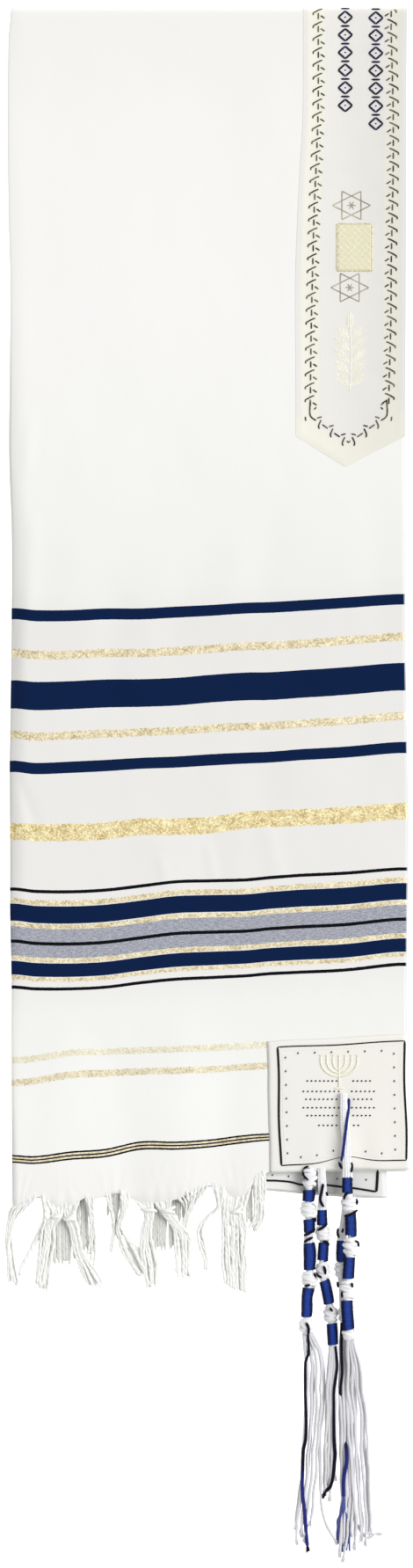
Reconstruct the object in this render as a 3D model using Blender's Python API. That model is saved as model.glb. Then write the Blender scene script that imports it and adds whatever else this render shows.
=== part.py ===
# A prayer shawl folded in four and laid flat: striped cloth, neckband, corner patches, knotted
# fringe and corner tassels. X runs across the folded cloth, +Y towards the top fold and +Z up
# from the table, with the origin in the middle of the underside. Sizes are in millimetres until
# a mesh is written.

import math
from collections import namedtuple

import bmesh
import bpy
from mathutils import Vector

METRES = 0.001  # one millimetre

# The folded cloth
WIDTH = 300.0  # half of the cloth's own width
STACK = 9.0  # top of the front layer above the table
WALL = 1.2  # thickness of a cloth wall
TRIM = 1.0  # thickness of a sewn-on piece
GAP = 0.3  # clearance between pieces that touch
FOLD_Y = 450.0  # line where the top fold starts to turn
SIDE_ROLL = 1.9  # outer radius of the lengthwise fold
TURN_UNDER = 8.0  # how far the front layer shows under the lengthwise fold
TURN_CLEAR = 0.8  # from there to the hidden layers
DEEPEST = 0.9  # the front layer never sinks further than this into its soft folds
CALM_EDGE = 16.0  # the folds fade out over this distance from the left edge and the top fold

# Mesh steps
ACROSS_STEPS = 20
LENGTH_STEPS = 32
BAND_STEPS_ACROSS = 8
BAND_STEPS_LENGTH = 24
ROLL_STEPS = 6
SIDE_ROLL_STEPS = 4
PATCH_STEPS = 7
RING_POINTS = 12
MERGE = 0.01  # points closer than this are one point
SHARP = math.radians(35)  # edges sharper than this stay crisp

# Outline of the folded cloth: its left fold and its right selvedges at a distance up the shawl
Edge = namedtuple("Edge", "y left right")
EDGES = (
    Edge(454, -150.2, 150.2),
    Edge(430, -152.2, 149.4),
    Edge(370, -152.8, 148.8),
    Edge(300, -152.2, 148.4),
    Edge(240, -150.8, 148.1),
    Edge(160, -151.6, 147.8),
    Edge(110, -151.9, 147.4),
    Edge(50, -149.9, 148.2),
    Edge(-40, -150.2, 149.0),
    Edge(-125, -151.4, 150.2),
    Edge(-180, -151.2, 150.8),
    Edge(-240, -151.0, 150.6),
    Edge(-290, -149.9, 150.2),
    Edge(-330, -149.9, 149.9),
    Edge(-380, -149.9, 151.6),
    Edge(-440, -149.8, 153.6),
    Edge(-460, -149.8, 154.2),
)

# Lower edge of each layer that shows
Hem = namedtuple("Hem", "x y")
FRONT_HEM = (
    Hem(-155, -455.6),
    Hem(-94, -455.6),
    Hem(-68, -453.6),
    Hem(-32, -450.2),
    Hem(1, -446.9),
    Hem(32, -445.0),
    Hem(42, -439.6),
    Hem(48, -435.8),
    Hem(155, -435.4),
)
THIRD_HEM = (
    Hem(-155, -451.0),
    Hem(-60, -447.0),
    Hem(0, -444.0),
    Hem(33, -450.4),
    Hem(138, -457.8),
)
SECOND_INSET = 2.0
FOURTH_INSET = 4.0
THIRD_SHIFT = 15.0  # how far the third layer's corner lies left of the front one
THIRD_SHIFT_FROM = -60.0  # the shift grows from here down
RIGHT_INSET = 3.0
GROOVE_RIGHT = 24.0  # depth of the gaps between the layers at the right
GROOVE_END = 6.0  # slope of a gap's top end
GROOVE_HEM_Y = -420.0  # line of the gaps at the hem
GROOVE_START = 16.0  # over which they open, from the left fold
FOLD_END_Y = -452.0  # lower end of the hidden layers' left folds

# Soft folds of the front layer, each along a line, as half-width and height
Fold = namedtuple("Fold", "x0 y0 x1 y1 spread height")
FOLDS = (
    Fold(-24, -16, 10, 62, 20, -0.7),
    Fold(42, 64, 40, 6, 15, -0.6),
    Fold(128, 70, 132, -8, 14, -0.5),
    Fold(-72, -6, -76, -66, 18, -0.7),
    Fold(-104, 40, -92, -30, 20, 0.5),
    Fold(38, -120, 44, -160, 16, -0.6),
    Fold(90, -60, 84, -130, 22, 0.5),
    Fold(-36, -190, -30, -225, 16, 0.6),
    Fold(2, -185, 8, -235, 14, -0.6),
    Fold(-110, -350, -116, -440, 18, 0.6),
    Fold(-70, -360, -60, -450, 16, -0.7),
    Fold(-20, -340, -24, -445, 18, 0.6),
    Fold(16, -370, 12, -442, 14, -0.6),
    Fold(-90, 300, -60, 180, 40, 0.5),
    Fold(0, 380, 20, 240, 34, -0.5),
)

# Levels of the hidden layers, from the table up, and the layer whose free edges they follow
Level = namedtuple("Level", "z line")
LEVELS = (
    Level(0.0, "fourth"),
    Level(0.5, "fourth"),
    Level(1.3, "fourth"),
    Level(2.3, "fourth"),
    Level(2.3, "groove"),
    Level(2.9, "groove"),
    Level(2.9, "third"),
    Level(4.0, "third"),
    Level(4.0, "groove"),
    Level(4.2, "groove"),
    Level(4.6, "groove"),
    Level(5.6, "groove"),
    Level(5.6, "second"),
    Level(6.6, "second"),
)
LOWER_ROLL = 2.1  # radius of the lower pair's lengthwise fold
UPPER_PAIR_LEVEL = 10  # the level from which the solid starts beside the front layer's turn
NOSE = 1.9  # radius of the inner fold inside the top roll
NOSE_Z = 5.0
NOTCH = 10.0  # the inner fold starts this far from the left edge
NOTCH_STEP = 0.7
SIDE_POINTS = 20
SIDE_TOP_Y = 440.0
SIDE_LOW_Y = -404.0
HEM_POINTS = 14

# Neckband: left edge up the shawl, and its pointed end
BandEdge = namedtuple("BandEdge", "y left")
BAND_EDGES = (
    BandEdge(470, 73.0),
    BandEdge(386, 72.0),
    BandEdge(332, 69.8),
    BandEdge(282, 67.6),
    BandEdge(238, 66.3),
    BandEdge(100, 66.3),
)
BAND_SHOULDER_Y = 126.0
BAND_TIP_Y = 102.3
BAND_TIP_SHARE = 0.45  # where across the band its point lies
BAND_BACK_STEPS = 5
RECESS = TRIM + GAP  # depth of the recesses that keep the underside flat
RECESS_RAMP = 14.0  # the cloth rises over this distance beside the neckband
RECESS_LEAD = 12.0  # and is up this far before the neckband's edge
RECESS_PAST = 10.0  # the neckband's recess runs this far past the selvedge and the top fold

# Corner patches: corners as top left, top right, lower right, lower left
FRONT_PATCH = ((45.4, -337.2), (149.4, -331.4), (153.4, -435.2), (48.4, -436.6))
SECOND_PATCH = ((32.6, -424.4), (134.4, -424.4), (136.3, -457.2), (34.0, -449.8))
SECOND_PATCH_Z = 4.3
UNDER_PATCH_SIZE = 101.0

# Fringe bunches: root along the hem, knot, and the reach of the ends
Bunch = namedtuple("Bunch", "root_left root_right knot_x knot_y knot_half tip_left tip_right tip_y")
BUNCHES = (
    Bunch(-149, -133, -151, -480, 5.5, -157, -146, -524),
    Bunch(-131, -95, -116, -473, 6.0, -141, -97, -534),
    Bunch(-93, -85, -91, -476, 4.0, -94, -80, -528),
    Bunch(-83, -62, -73, -474, 6.0, -77, -55, -510),
    Bunch(-60, -17, -36, -468, 8.0, -52, -27, -528),
    Bunch(-15, 7, -8, -472, 6.0, -24, 1, -518),
    Bunch(9, 36, 22, -468, 8.0, 11, 30, -530),
    Bunch(38, 45, 40, -470, 3.0, 34, 45, -486),
)
BUNCH_CLEAR = 0.6  # from the hem's facets
BUNCH_SHOULDER = 9.0  # below the root, where a bunch starts to come down
BUNCH_KNOT_LENGTH = 5.0
PAST_ROWS_Y = -513.0  # the rows of fringe behind end above this line
LANDING = 5.0  # room that an end needs to come down past those rows
SHORT_SHARE = 0.6  # where a bunch that ends above them is measured, from knot to tip
BunchHeight = namedtuple("BunchHeight", "z high")
ROOT_HEIGHT = BunchHeight(STACK - WALL / 2, WALL / 2)
SHOULDER_HEIGHT = BunchHeight(7.4, 1.2)
KNOT_HEIGHT = BunchHeight(4.6, 2.6)
OVER_ROWS_HEIGHT = BunchHeight(3.4, 1.7)
LANDED_HEIGHT = BunchHeight(2.2, 1.2)

# The rows of fringe behind, which lie on the table
BEHIND_TOP = 1.2
BEHIND_CLEAR = 0.7  # from the hem's facets
BEHIND_STEPS = 10
Reach = namedtuple("Reach", "x y")
BEHIND_REACH = (
    Reach(-146, -488),
    Reach(-122, -494),
    Reach(-108, -509),
    Reach(-90, -500),
    Reach(-70, -510),
    Reach(-56, -512),
    Reach(-34, -498),
    Reach(-12, -506),
    Reach(6, -500),
    Reach(24, -504),
    Reach(40, -492),
)

# Tassel stems: stations down each stem, as centre, half-width and half-height
Station = namedtuple("Station", "x y z wide high")
STEMS = {
    "front": (
        Station(103.2, -376.5, 12.2, 1.6, 1.2),
        Station(103.8, -392, 12.6, 3.0, 1.6),
        Station(105.6, -432, 12.8, 3.4, 1.8),
        Station(105.8, -438, 12.8, 3.6, 1.9),
        Station(106.0, -444, 12.4, 4.0, 3.0),
        Station(106.2, -453, 12.6, 4.4, 3.8),
        Station(106.6, -460, 12.7, 5.8, 4.2),
        Station(107.2, -466, 12.7, 5.6, 4.2),
        Station(108.4, -470, 12.6, 4.6, 3.8),
        Station(108.8, -485, 12.6, 4.6, 3.8),
        Station(109.4, -492, 12.6, 5.8, 4.2),
        Station(109.4, -499, 12.6, 5.8, 4.2),
        Station(107.8, -503, 12.4, 4.6, 3.8),
        Station(106.8, -518, 12.2, 4.8, 3.8),
        Station(106.4, -526, 12.2, 5.8, 4.2),
        Station(106.2, -533, 12.0, 5.6, 4.2),
        Station(105.8, -537, 12.2, 4.8, 3.8),
        Station(107.0, -556, 12.0, 4.8, 3.8),
        Station(108.0, -563, 11.2, 4.2, 3.6),
    ),
    "left": (
        Station(77.0, -437.4, 8.6, 3.0, 2.2),
        Station(77.4, -444, 9.4, 5.4, 3.4),
        Station(76.6, -451, 9.6, 5.4, 3.6),
        Station(76.4, -455, 9.4, 4.2, 3.4),
        Station(76.0, -461, 7.4, 4.4, 3.6),
        Station(76.6, -468, 5.4, 5.6, 4.2),
        Station(77.2, -474, 4.6, 5.2, 4.2),
        Station(77.0, -484, 4.2, 4.2, 3.9),
        Station(76.4, -489, 4.4, 5.0, 4.1),
        Station(77.4, -494, 4.2, 4.6, 3.9),
        Station(77.2, -513, 4.2, 4.4, 3.9),
        Station(77.6, -519, 4.5, 5.6, 4.2),
        Station(77.2, -526, 4.5, 5.4, 4.2),
        Station(75.2, -530, 4.2, 4.2, 3.9),
        Station(74.8, -549, 4.2, 4.2, 3.9),
        Station(74.8, -555, 4.4, 4.8, 4.0),
        Station(74.8, -561, 4.2, 4.4, 3.8),
    ),
    "middle": (
        Station(86.2, -437.4, 8.0, 2.2, 1.6),
        Station(86.6, -448, 8.4, 2.8, 2.4),
        Station(87.2, -455, 8.8, 3.4, 2.8),
        Station(87.0, -464, 6.4, 3.8, 3.4),
        Station(87.0, -470, 4.6, 4.0, 3.8),
        Station(87.4, -477, 4.2, 4.0, 3.9),
        Station(88.2, -485, 4.5, 4.6, 4.2),
        Station(88.2, -490, 4.2, 4.2, 3.9),
        Station(87.8, -506, 4.2, 4.2, 3.9),
        Station(88.0, -511, 4.5, 5.0, 4.2),
        Station(88.0, -519, 4.4, 4.6, 4.1),
        Station(88.8, -523, 4.2, 4.0, 3.9),
        Station(91.6, -539, 4.2, 4.0, 3.9),
        Station(93.0, -547, 4.5, 5.0, 4.2),
        Station(94.0, -553, 4.2, 4.2, 3.9),
        Station(95.0, -570, 4.2, 4.0, 3.9),
    ),
    "behind": (
        Station(101.0, -440, 1.5, 2.0, 1.1),
        Station(101.2, -456, 1.5, 2.4, 1.1),
        Station(101.6, -466, 3.2, 3.6, 2.9),
        Station(101.8, -472, 4.2, 4.2, 3.9),
        Station(102.0, -480, 4.2, 4.2, 3.9),
        Station(102.0, -492, 4.2, 4.2, 3.9),
        Station(101.6, -504, 4.2, 4.4, 3.9),
        Station(102.2, -512, 4.2, 4.0, 3.9),
        Station(103.6, -530, 4.2, 4.0, 3.9),
        Station(104.0, -546, 4.2, 4.0, 3.9),
        Station(104.2, -553, 3.9, 3.6, 3.6),
    ),
}

# Loose strands below each stem: left and right reach, centre height and half-height
Skirt = namedtuple("Skirt", "y left right z high")
SKIRTS = {
    "front": (
        Skirt(-563.3, 104.6, 111.4, 10.8, 3.3),
        Skirt(-576, 106.4, 114.6, 6.8, 3.2),
        Skirt(-600, 107.4, 119.0, 3.3, 3.0),
        Skirt(-640, 109.0, 123.0, 3.0, 2.8),
        Skirt(-680, 110.5, 126.0, 2.8, 2.6),
        Skirt(-712, 111.0, 127.5, 2.4, 2.2),
        Skirt(-720, 114.0, 125.5, 2.0, 1.6),
    ),
    "left": (
        Skirt(-561.3, 70.6, 79.0, 4.0, 3.4),
        Skirt(-585, 69.0, 82.0, 3.4, 3.2),
        Skirt(-625, 67.6, 84.0, 3.2, 3.0),
        Skirt(-670, 66.2, 84.6, 3.0, 2.8),
        Skirt(-705, 64.6, 85.4, 2.6, 2.4),
        Skirt(-722, 66.6, 82.0, 2.2, 1.8),
    ),
    "middle": (
        Skirt(-570.3, 91.4, 98.4, 4.0, 3.4),
        Skirt(-600, 88.4, 98.6, 3.4, 3.2),
        Skirt(-640, 86.4, 99.0, 3.2, 3.0),
        Skirt(-670, 86.6, 99.4, 2.8, 2.6),
        Skirt(-686, 88.0, 98.6, 2.2, 1.8),
    ),
    "behind": (
        Skirt(-553.3, 101.0, 107.0, 3.7, 3.1),
        Skirt(-575, 99.8, 104.4, 3.2, 3.0),
        Skirt(-600, 99.8, 105.8, 3.2, 3.0),
        Skirt(-640, 100.2, 107.8, 3.0, 2.8),
        Skirt(-680, 100.4, 109.4, 2.8, 2.6),
        Skirt(-712, 98.6, 109.6, 2.4, 2.2),
        Skirt(-734, 98.4, 105.6, 2.0, 1.6),
    ),
}


def clear_scene():
    for old in list(bpy.data.objects):
        bpy.data.objects.remove(old, do_unlink=True)


def material(name, colour, roughness, metallic=0.0):
    made = bpy.data.materials.new(name)
    made.use_nodes = True
    shader = made.node_tree.nodes["Principled BSDF"]
    shader.inputs["Base Color"].default_value = (*colour, 1.0)
    shader.inputs["Roughness"].default_value = roughness
    shader.inputs["Metallic"].default_value = metallic
    return made


def read_table(rows, key, column, at):
    """The column's value at this place, eased between the table's rows."""
    rows = sorted(rows, key=lambda row: getattr(row, key))
    if at <= getattr(rows[0], key):
        return getattr(rows[0], column)
    for low, high in zip(rows, rows[1:]):
        start, end = getattr(low, key), getattr(high, key)
        if at <= end:
            share = ease((at - start) / (end - start))
            return mix(getattr(low, column), getattr(high, column), share)
    return getattr(rows[-1], column)


def mix(a, b, share):
    return a + (b - a) * share


def ease(share):
    share = min(max(share, 0.0), 1.0)
    return share * share * (3 - 2 * share)


def left_edge(y):
    return read_table(EDGES, "y", "left", y)


def right_edge(y):
    return read_table(EDGES, "y", "right", y)


def front_hem(x):
    return read_table(FRONT_HEM, "x", "y", x)


def band_left(y):
    return read_table(BAND_EDGES, "y", "left", y)


def hem_line(name, x):
    if name == "groove":
        line = GROOVE_HEM_Y
    elif name == "third":
        line = read_table(THIRD_HEM, "x", "y", x)
    else:
        line = front_hem(x) + {"second": SECOND_INSET, "fourth": FOURTH_INSET}[name]
    return mix(FOLD_END_Y, line, ease((x + WIDTH / 2) / GROOVE_START))


def right_line(name, y):
    inset = {"second": SECOND_INSET, "third": RIGHT_INSET, "fourth": RIGHT_INSET}.get(name)
    if name == "groove":
        return right_edge(y) - GROOVE_RIGHT
    if name == "third":
        lowest = THIRD_HEM[-1].y
        inset += THIRD_SHIFT * ease((THIRD_SHIFT_FROM - y) / (THIRD_SHIFT_FROM - lowest))
    return right_edge(y) - inset


def relief(x, y):
    """Height of the soft folds above the calm cloth."""
    total = 0.0
    here = Vector((x, y))
    for fold in FOLDS:
        start, end = Vector((fold.x0, fold.y0)), Vector((fold.x1, fold.y1))
        run = end - start
        along = min(max((here - start).dot(run) / run.length_squared, 0.0), 1.0)
        away = (here - start - run * along).length / fold.spread
        total += fold.height * math.exp(-away * away)
    calm = ease((x - left_edge(y)) / CALM_EDGE) * ease((FOLD_Y - y) / CALM_EDGE)
    return max(total, -DEEPEST) * calm


def front_surface(x, y):
    return STACK + relief(x, y)


def rise(x):
    """Height of the cloth's underside at the top fold, where the neckband passes below it."""
    return RECESS * ease((x - band_left(FOLD_Y) + RECESS_LEAD + RECESS_RAMP) / RECESS_RAMP)


def side_profile(inside):
    """Distance from the left edge and depth below the front surface, from the turn-under round
    the lengthwise fold to the right selvedge, for the surface this far inside the wall."""
    radius = SIDE_ROLL - inside
    under = SIDE_ROLL + radius
    stations = [(TURN_UNDER, under), (mix(TURN_UNDER, SIDE_ROLL, 0.5), under)]
    for turn in range(SIDE_ROLL_STEPS + 1):
        angle = math.radians(mix(270, 90, turn / SIDE_ROLL_STEPS))
        stations.append((SIDE_ROLL + radius * math.cos(angle), SIDE_ROLL - radius * math.sin(angle)))
    for step in range(1, ACROSS_STEPS + 1):
        stations.append((mix(SIDE_ROLL, WIDTH, step / ACROSS_STEPS), inside))
    return stations


def front_layer_grid(inside):
    grid = []
    for turn in range(ROLL_STEPS):
        angle = math.radians(mix(-90, 90, turn / ROLL_STEPS))
        row = []
        for out, depth in side_profile(inside):
            x = mix(left_edge(FOLD_Y), right_edge(FOLD_Y), out / WIDTH)
            low = rise(x)
            radius = (STACK - low) / 2 - depth
            z = (STACK + low) / 2 + radius * math.sin(angle)
            row.append((x, FOLD_Y + radius * math.cos(angle), z))
        grid.append(row)
    for step in range(LENGTH_STEPS + 1):
        row = []
        for out, depth in side_profile(inside):
            y = mix(FOLD_Y, front_hem(-WIDTH / 2 + out), step / LENGTH_STEPS)
            x = left_edge(y) + out * (right_edge(y) - left_edge(y)) / WIDTH
            row.append((x, y, STACK - depth + relief(x, y)))
        grid.append(row)
    return grid


def add_object(name, points, faces, finish):
    mesh = bpy.data.meshes.new(name)
    mesh.from_pydata([Vector(point) * METRES for point in points], [], faces)
    shape = bmesh.new()
    shape.from_mesh(mesh)
    bmesh.ops.remove_doubles(shape, verts=shape.verts, dist=MERGE * METRES)
    bmesh.ops.recalc_face_normals(shape, faces=shape.faces)
    shape.to_mesh(mesh)
    shape.free()
    mesh.shade_smooth()
    mesh.set_sharp_from_angle(angle=SHARP)
    mesh.materials.append(finish)
    made = bpy.data.objects.new(name, mesh)
    bpy.context.scene.collection.objects.link(made)
    return made


def wall(name, outer, inner, finish):
    """A closed wall between two grids of points with the same rows and columns."""
    rows, columns = len(outer), len(outer[0])
    points = [point for grid in (outer, inner) for row in grid for point in row]
    below = rows * columns

    def at(row, column):
        return row * columns + column

    faces = []
    for row in range(rows - 1):
        for column in range(columns - 1):
            quad = [at(row, column), at(row, column + 1), at(row + 1, column + 1), at(row + 1, column)]
            faces.append(quad)
            faces.append([corner + below for corner in reversed(quad)])
    rim = [at(0, column) for column in range(columns)]
    rim += [at(row, columns - 1) for row in range(1, rows)]
    rim += [at(rows - 1, column) for column in reversed(range(columns - 1))]
    rim += [at(row, 0) for row in reversed(range(1, rows - 1))]
    for here, there in zip(rim, rim[1:] + rim[:1]):
        faces.append([there, here, here + below, there + below])
    return add_object(name, points, faces, finish)


def loft(name, rings, finish):
    """A closed solid through rings of points, capped at both ends."""
    count = len(rings[0])
    points = [point for ring in rings for point in ring]
    faces = [list(reversed(range(count)))]
    for level in range(len(rings) - 1):
        for step in range(count):
            following = (step + 1) % count
            low, high = level * count, (level + 1) * count
            faces.append([low + step, low + following, high + following, high + step])
    faces.append([(len(rings) - 1) * count + step for step in range(count)])
    return add_object(name, points, faces, finish)


def hidden_ring(index, level):
    """Outline of the hidden layers at one level, from the top left round by the hem. Levels at
    one height meet exactly along the left side and the top."""
    if index >= UPPER_PAIR_LEVEL:
        inset = TURN_UNDER + TURN_CLEAR
    else:
        height = level.z - LOWER_ROLL
        inset = LOWER_ROLL - math.sqrt(max(LOWER_ROLL**2 - height**2, 0.0))
    nose = math.sqrt(max(NOSE**2 - (level.z - NOSE_Z) ** 2, 0.0))
    top = FOLD_Y - GAP + nose
    notch = (left_edge(FOLD_Y) + NOTCH, FOLD_Y - GAP - NOTCH_STEP)
    heights = [mix(SIDE_TOP_Y, SIDE_LOW_Y, step / SIDE_POINTS) for step in range(SIDE_POINTS + 1)]
    right_x = right_line(level.line, hem_line(level.line, WIDTH / 2))
    ring = [(left_edge(notch[1]) + inset, notch[1])]
    ring += [(left_edge(y) + inset, y) for y in heights]
    for step in range(HEM_POINTS + 1):
        x = mix(-WIDTH / 2 + inset, right_x, step / HEM_POINTS)
        ring.append((x, hem_line(level.line, x)))
    ring += [(right_line(level.line, y), y) for y in reversed(heights)]
    slope = GROOVE_END if level.line == "groove" else 0.0
    ring.append((right_line(level.line, FOLD_Y), top - slope))
    ring.append((right_edge(FOLD_Y) - GROOVE_RIGHT - GROOVE_END, top))
    ring.append((notch[0], top))
    ring.append(notch)
    return [(x, y, level.z) for x, y in ring]


def band_end(share):
    """Where the neckband ends, at this share of the way across it."""
    if share < BAND_TIP_SHARE:
        return mix(BAND_SHOULDER_Y, BAND_TIP_Y, share / BAND_TIP_SHARE)
    return mix(BAND_TIP_Y, BAND_SHOULDER_Y, (share - BAND_TIP_SHARE) / (1 - BAND_TIP_SHARE))


def band_shares():
    lower = [step / BAND_STEPS_ACROSS * 2 * BAND_TIP_SHARE for step in range(BAND_STEPS_ACROSS // 2)]
    upper = [
        mix(BAND_TIP_SHARE, 1.0, step / (BAND_STEPS_ACROSS // 2))
        for step in range(BAND_STEPS_ACROSS // 2 + 1)
    ]
    return lower + upper


def band_grid(outward):
    """The neckband's surface this far out from the cloth it lies on, from the front point over
    the top fold to the point on the underside."""
    centre_z = (STACK + RECESS) / 2
    radius = (STACK - RECESS) / 2 + outward
    grid = []
    for step in range(BAND_STEPS_LENGTH + 1):
        row = []
        for share in band_shares():
            y = mix(band_end(share), FOLD_Y, step / BAND_STEPS_LENGTH)
            x = mix(band_left(y), right_edge(y), share)
            row.append((x, y, front_surface(x, y) + outward))
        grid.append(row)
    for turn in range(1, ROLL_STEPS):
        angle = math.radians(mix(90, -90, turn / ROLL_STEPS))
        row = []
        for share in band_shares():
            x = mix(band_left(FOLD_Y), right_edge(FOLD_Y), share)
            row.append((x, FOLD_Y + radius * math.cos(angle), centre_z + radius * math.sin(angle)))
        grid.append(row)
    for step in range(BAND_BACK_STEPS + 1):
        row = []
        for share in band_shares():
            y = mix(FOLD_Y, band_end(share), step / BAND_BACK_STEPS)
            row.append((mix(band_left(y), right_edge(y), share), y, RECESS - outward))
        grid.append(row)
    return grid


def patch_grid(corners, height):
    """A grid over four corners, at a height that may follow the cloth."""
    top_left, top_right, low_right, low_left = [Vector(corner) for corner in corners]
    grid = []
    for down in range(PATCH_STEPS + 1):
        start = top_left.lerp(low_left, down / PATCH_STEPS)
        end = top_right.lerp(low_right, down / PATCH_STEPS)
        row = []
        for over in range(PATCH_STEPS + 1):
            x, y = start.lerp(end, over / PATCH_STEPS)
            row.append((x, y, height(x, y)))
        grid.append(row)
    return grid


def under_patch_corners(margin):
    """Corners of the patch on the underside, or of its recess when there is a margin."""
    right = right_line("fourth", -435.0)
    low = hem_line("fourth", right)
    left, top = right - UNDER_PATCH_SIZE - margin, low + UNDER_PATCH_SIZE + margin
    return ((left, top), (right + margin, top), (right + margin, low - margin), (left, low - margin))


def prism(name, outline, low, high, finish):
    rings = [[(x, y, z) for x, y in outline] for z in (low, high)]
    return loft(name, rings, finish)


def cut(target, cutter):
    cutter.hide_render = True
    cutter.display_type = "WIRE"
    modifier = target.modifiers.new(f"cut_{cutter.name}", "BOOLEAN")
    modifier.object = cutter
    modifier.operation = "DIFFERENCE"


def band_recess_outline():
    """Outline of the neckband on the underside, grown by the gap and open at its free sides."""
    right = right_edge(BAND_SHOULDER_Y)
    tip_x = mix(band_left(BAND_SHOULDER_Y), right, BAND_TIP_SHARE)
    slope = (BAND_SHOULDER_Y - BAND_TIP_Y) / (right - tip_x)
    outline = [(tip_x, BAND_TIP_Y - 2 * GAP)]
    outline.append((right + RECESS_PAST, BAND_SHOULDER_Y + slope * RECESS_PAST - 2 * GAP))
    outline.append((right + RECESS_PAST, FOLD_Y + RECESS_PAST))
    outline.append((band_left(FOLD_Y) - GAP, FOLD_Y + RECESS_PAST))
    for step in range(BAND_BACK_STEPS + 1):
        y = mix(FOLD_Y, BAND_SHOULDER_Y, step / BAND_BACK_STEPS)
        outline.append((band_left(y) - GAP, y))
    outline.append((band_left(BAND_SHOULDER_Y) - GAP, BAND_SHOULDER_Y - 2 * GAP))
    return outline


def oval(x, y, z, wide, high, along=None):
    """An oval ring across a piece that runs down the shawl, or across the given direction."""
    side = Vector((1, 0, 0)) if along is None else Vector((-along.y, along.x, 0)).normalized()
    ring = []
    for step in range(RING_POINTS):
        angle = math.tau * step / RING_POINTS
        out = side * wide * math.cos(angle)
        ring.append((x + out.x, y + out.y, z + high * math.sin(angle)))
    return ring


def root_of(bunch):
    """Middle of a bunch's root and its line along the hem, clear of the hem's lowest bulge."""
    left = Vector((bunch.root_left, front_hem(bunch.root_left)))
    right = Vector((bunch.root_right, front_hem(bunch.root_right)))
    bulge = 0.0
    for eighth in range(1, 8):
        point = left.lerp(right, eighth / 8)
        bulge = max(bulge, point.y - front_hem(point.x))
    middle = left.lerp(right, 0.5)
    return middle.x, middle.y - bulge - BUNCH_CLEAR, right - left


def bunch_rings(bunch):
    root_x, root_y, hem_run = root_of(bunch)
    across = Vector((hem_run.y, -hem_run.x, 0))
    half = hem_run.length / 2
    tip_x = (bunch.tip_left + bunch.tip_right) / 2
    tip_half = (bunch.tip_right - bunch.tip_left) / 2
    tip_height, share = OVER_ROWS_HEIGHT, SHORT_SHARE
    if bunch.tip_y < PAST_ROWS_Y - LANDING:
        tip_height = LANDED_HEIGHT
        share = (bunch.knot_y - PAST_ROWS_Y) / (bunch.knot_y - bunch.tip_y)
    shoulder_x, shoulder_half = mix(root_x, bunch.knot_x, 0.4), mix(half, bunch.knot_half, 0.6)
    over_x, over_y = mix(bunch.knot_x, tip_x, share), mix(bunch.knot_y, bunch.tip_y, share)
    over_half = mix(bunch.knot_half, tip_half, share)
    return [
        oval(root_x, root_y, ROOT_HEIGHT.z, half, ROOT_HEIGHT.high, across),
        oval(shoulder_x, root_y - BUNCH_SHOULDER, SHOULDER_HEIGHT.z, shoulder_half, SHOULDER_HEIGHT.high),
        oval(bunch.knot_x, bunch.knot_y, KNOT_HEIGHT.z, bunch.knot_half, KNOT_HEIGHT.high),
        oval(
            bunch.knot_x,
            bunch.knot_y - BUNCH_KNOT_LENGTH,
            KNOT_HEIGHT.z,
            bunch.knot_half,
            KNOT_HEIGHT.high,
        ),
        oval(over_x, over_y, OVER_ROWS_HEIGHT.z, over_half, OVER_ROWS_HEIGHT.high),
        oval(tip_x, bunch.tip_y, tip_height.z, tip_half, tip_height.high),
    ]


def behind_outline():
    left, right = BEHIND_REACH[0].x, BEHIND_REACH[-1].x
    outline = []
    for step in range(BEHIND_STEPS + 1):
        x = mix(right, left, step / BEHIND_STEPS)
        outline.append((x, hem_line("fourth", x) - BEHIND_CLEAR))
    return outline + [(row.x, row.y) for row in BEHIND_REACH]


def add_cloth(finishes):
    wall("shawl_front_layer", front_layer_grid(0.0), front_layer_grid(WALL), finishes["cloth"])
    rings = [hidden_ring(index, level) for index, level in enumerate(LEVELS)]
    hidden = loft("shawl_hidden_layers", rings, finishes["cloth"])
    recesses = {"band_recess": band_recess_outline(), "patch_recess": under_patch_corners(GAP)}
    for name, outline in recesses.items():
        cut(hidden, prism(name, outline, -RECESS, RECESS, finishes["cloth"]))


def add_trims(finishes):
    wall("neckband", band_grid(RECESS), band_grid(GAP), finishes["satin"])

    def on_front(outward):
        return lambda x, y: front_surface(x, y) + outward

    wall(
        "corner_patch_front",
        patch_grid(FRONT_PATCH, on_front(RECESS)),
        patch_grid(FRONT_PATCH, on_front(GAP)),
        finishes["satin"],
    )
    wall(
        "corner_patch_second",
        patch_grid(SECOND_PATCH, lambda x, y: SECOND_PATCH_Z + TRIM),
        patch_grid(SECOND_PATCH, lambda x, y: SECOND_PATCH_Z),
        finishes["satin"],
    )
    prism("corner_patch_underside", under_patch_corners(0.0), 0.0, TRIM, finishes["satin"])


def add_fringe(finishes):
    for number, bunch in enumerate(BUNCHES, start=1):
        loft(f"fringe_bunch_{number}", bunch_rings(bunch), finishes["yarn"])
    prism("fringe_behind", behind_outline(), 0.0, BEHIND_TOP, finishes["yarn"])


def add_tassels(finishes):
    for name, stations in STEMS.items():
        rings = [oval(*station) for station in stations]
        loft(f"tassel_{name}_stem", rings, finishes["winding"])
        rings = []
        for row in SKIRTS[name]:
            centre, half = (row.left + row.right) / 2, (row.right - row.left) / 2
            rings.append(oval(centre, row.y, row.z, half, row.high))
        loft(f"tassel_{name}_strands", rings, finishes["yarn"])


def main():
    clear_scene()
    finishes = {
        "cloth": material("striped_cloth", (0.86, 0.85, 0.83), 0.85),
        "satin": material("cream_satin", (0.80, 0.78, 0.72), 0.5),
        "yarn": material("white_yarn", (0.85, 0.84, 0.83), 0.9),
        "winding": material("blue_winding", (0.01, 0.04, 0.27), 0.7),
    }
    add_cloth(finishes)
    add_trims(finishes)
    add_fringe(finishes)
    add_tassels(finishes)


main()
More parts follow.
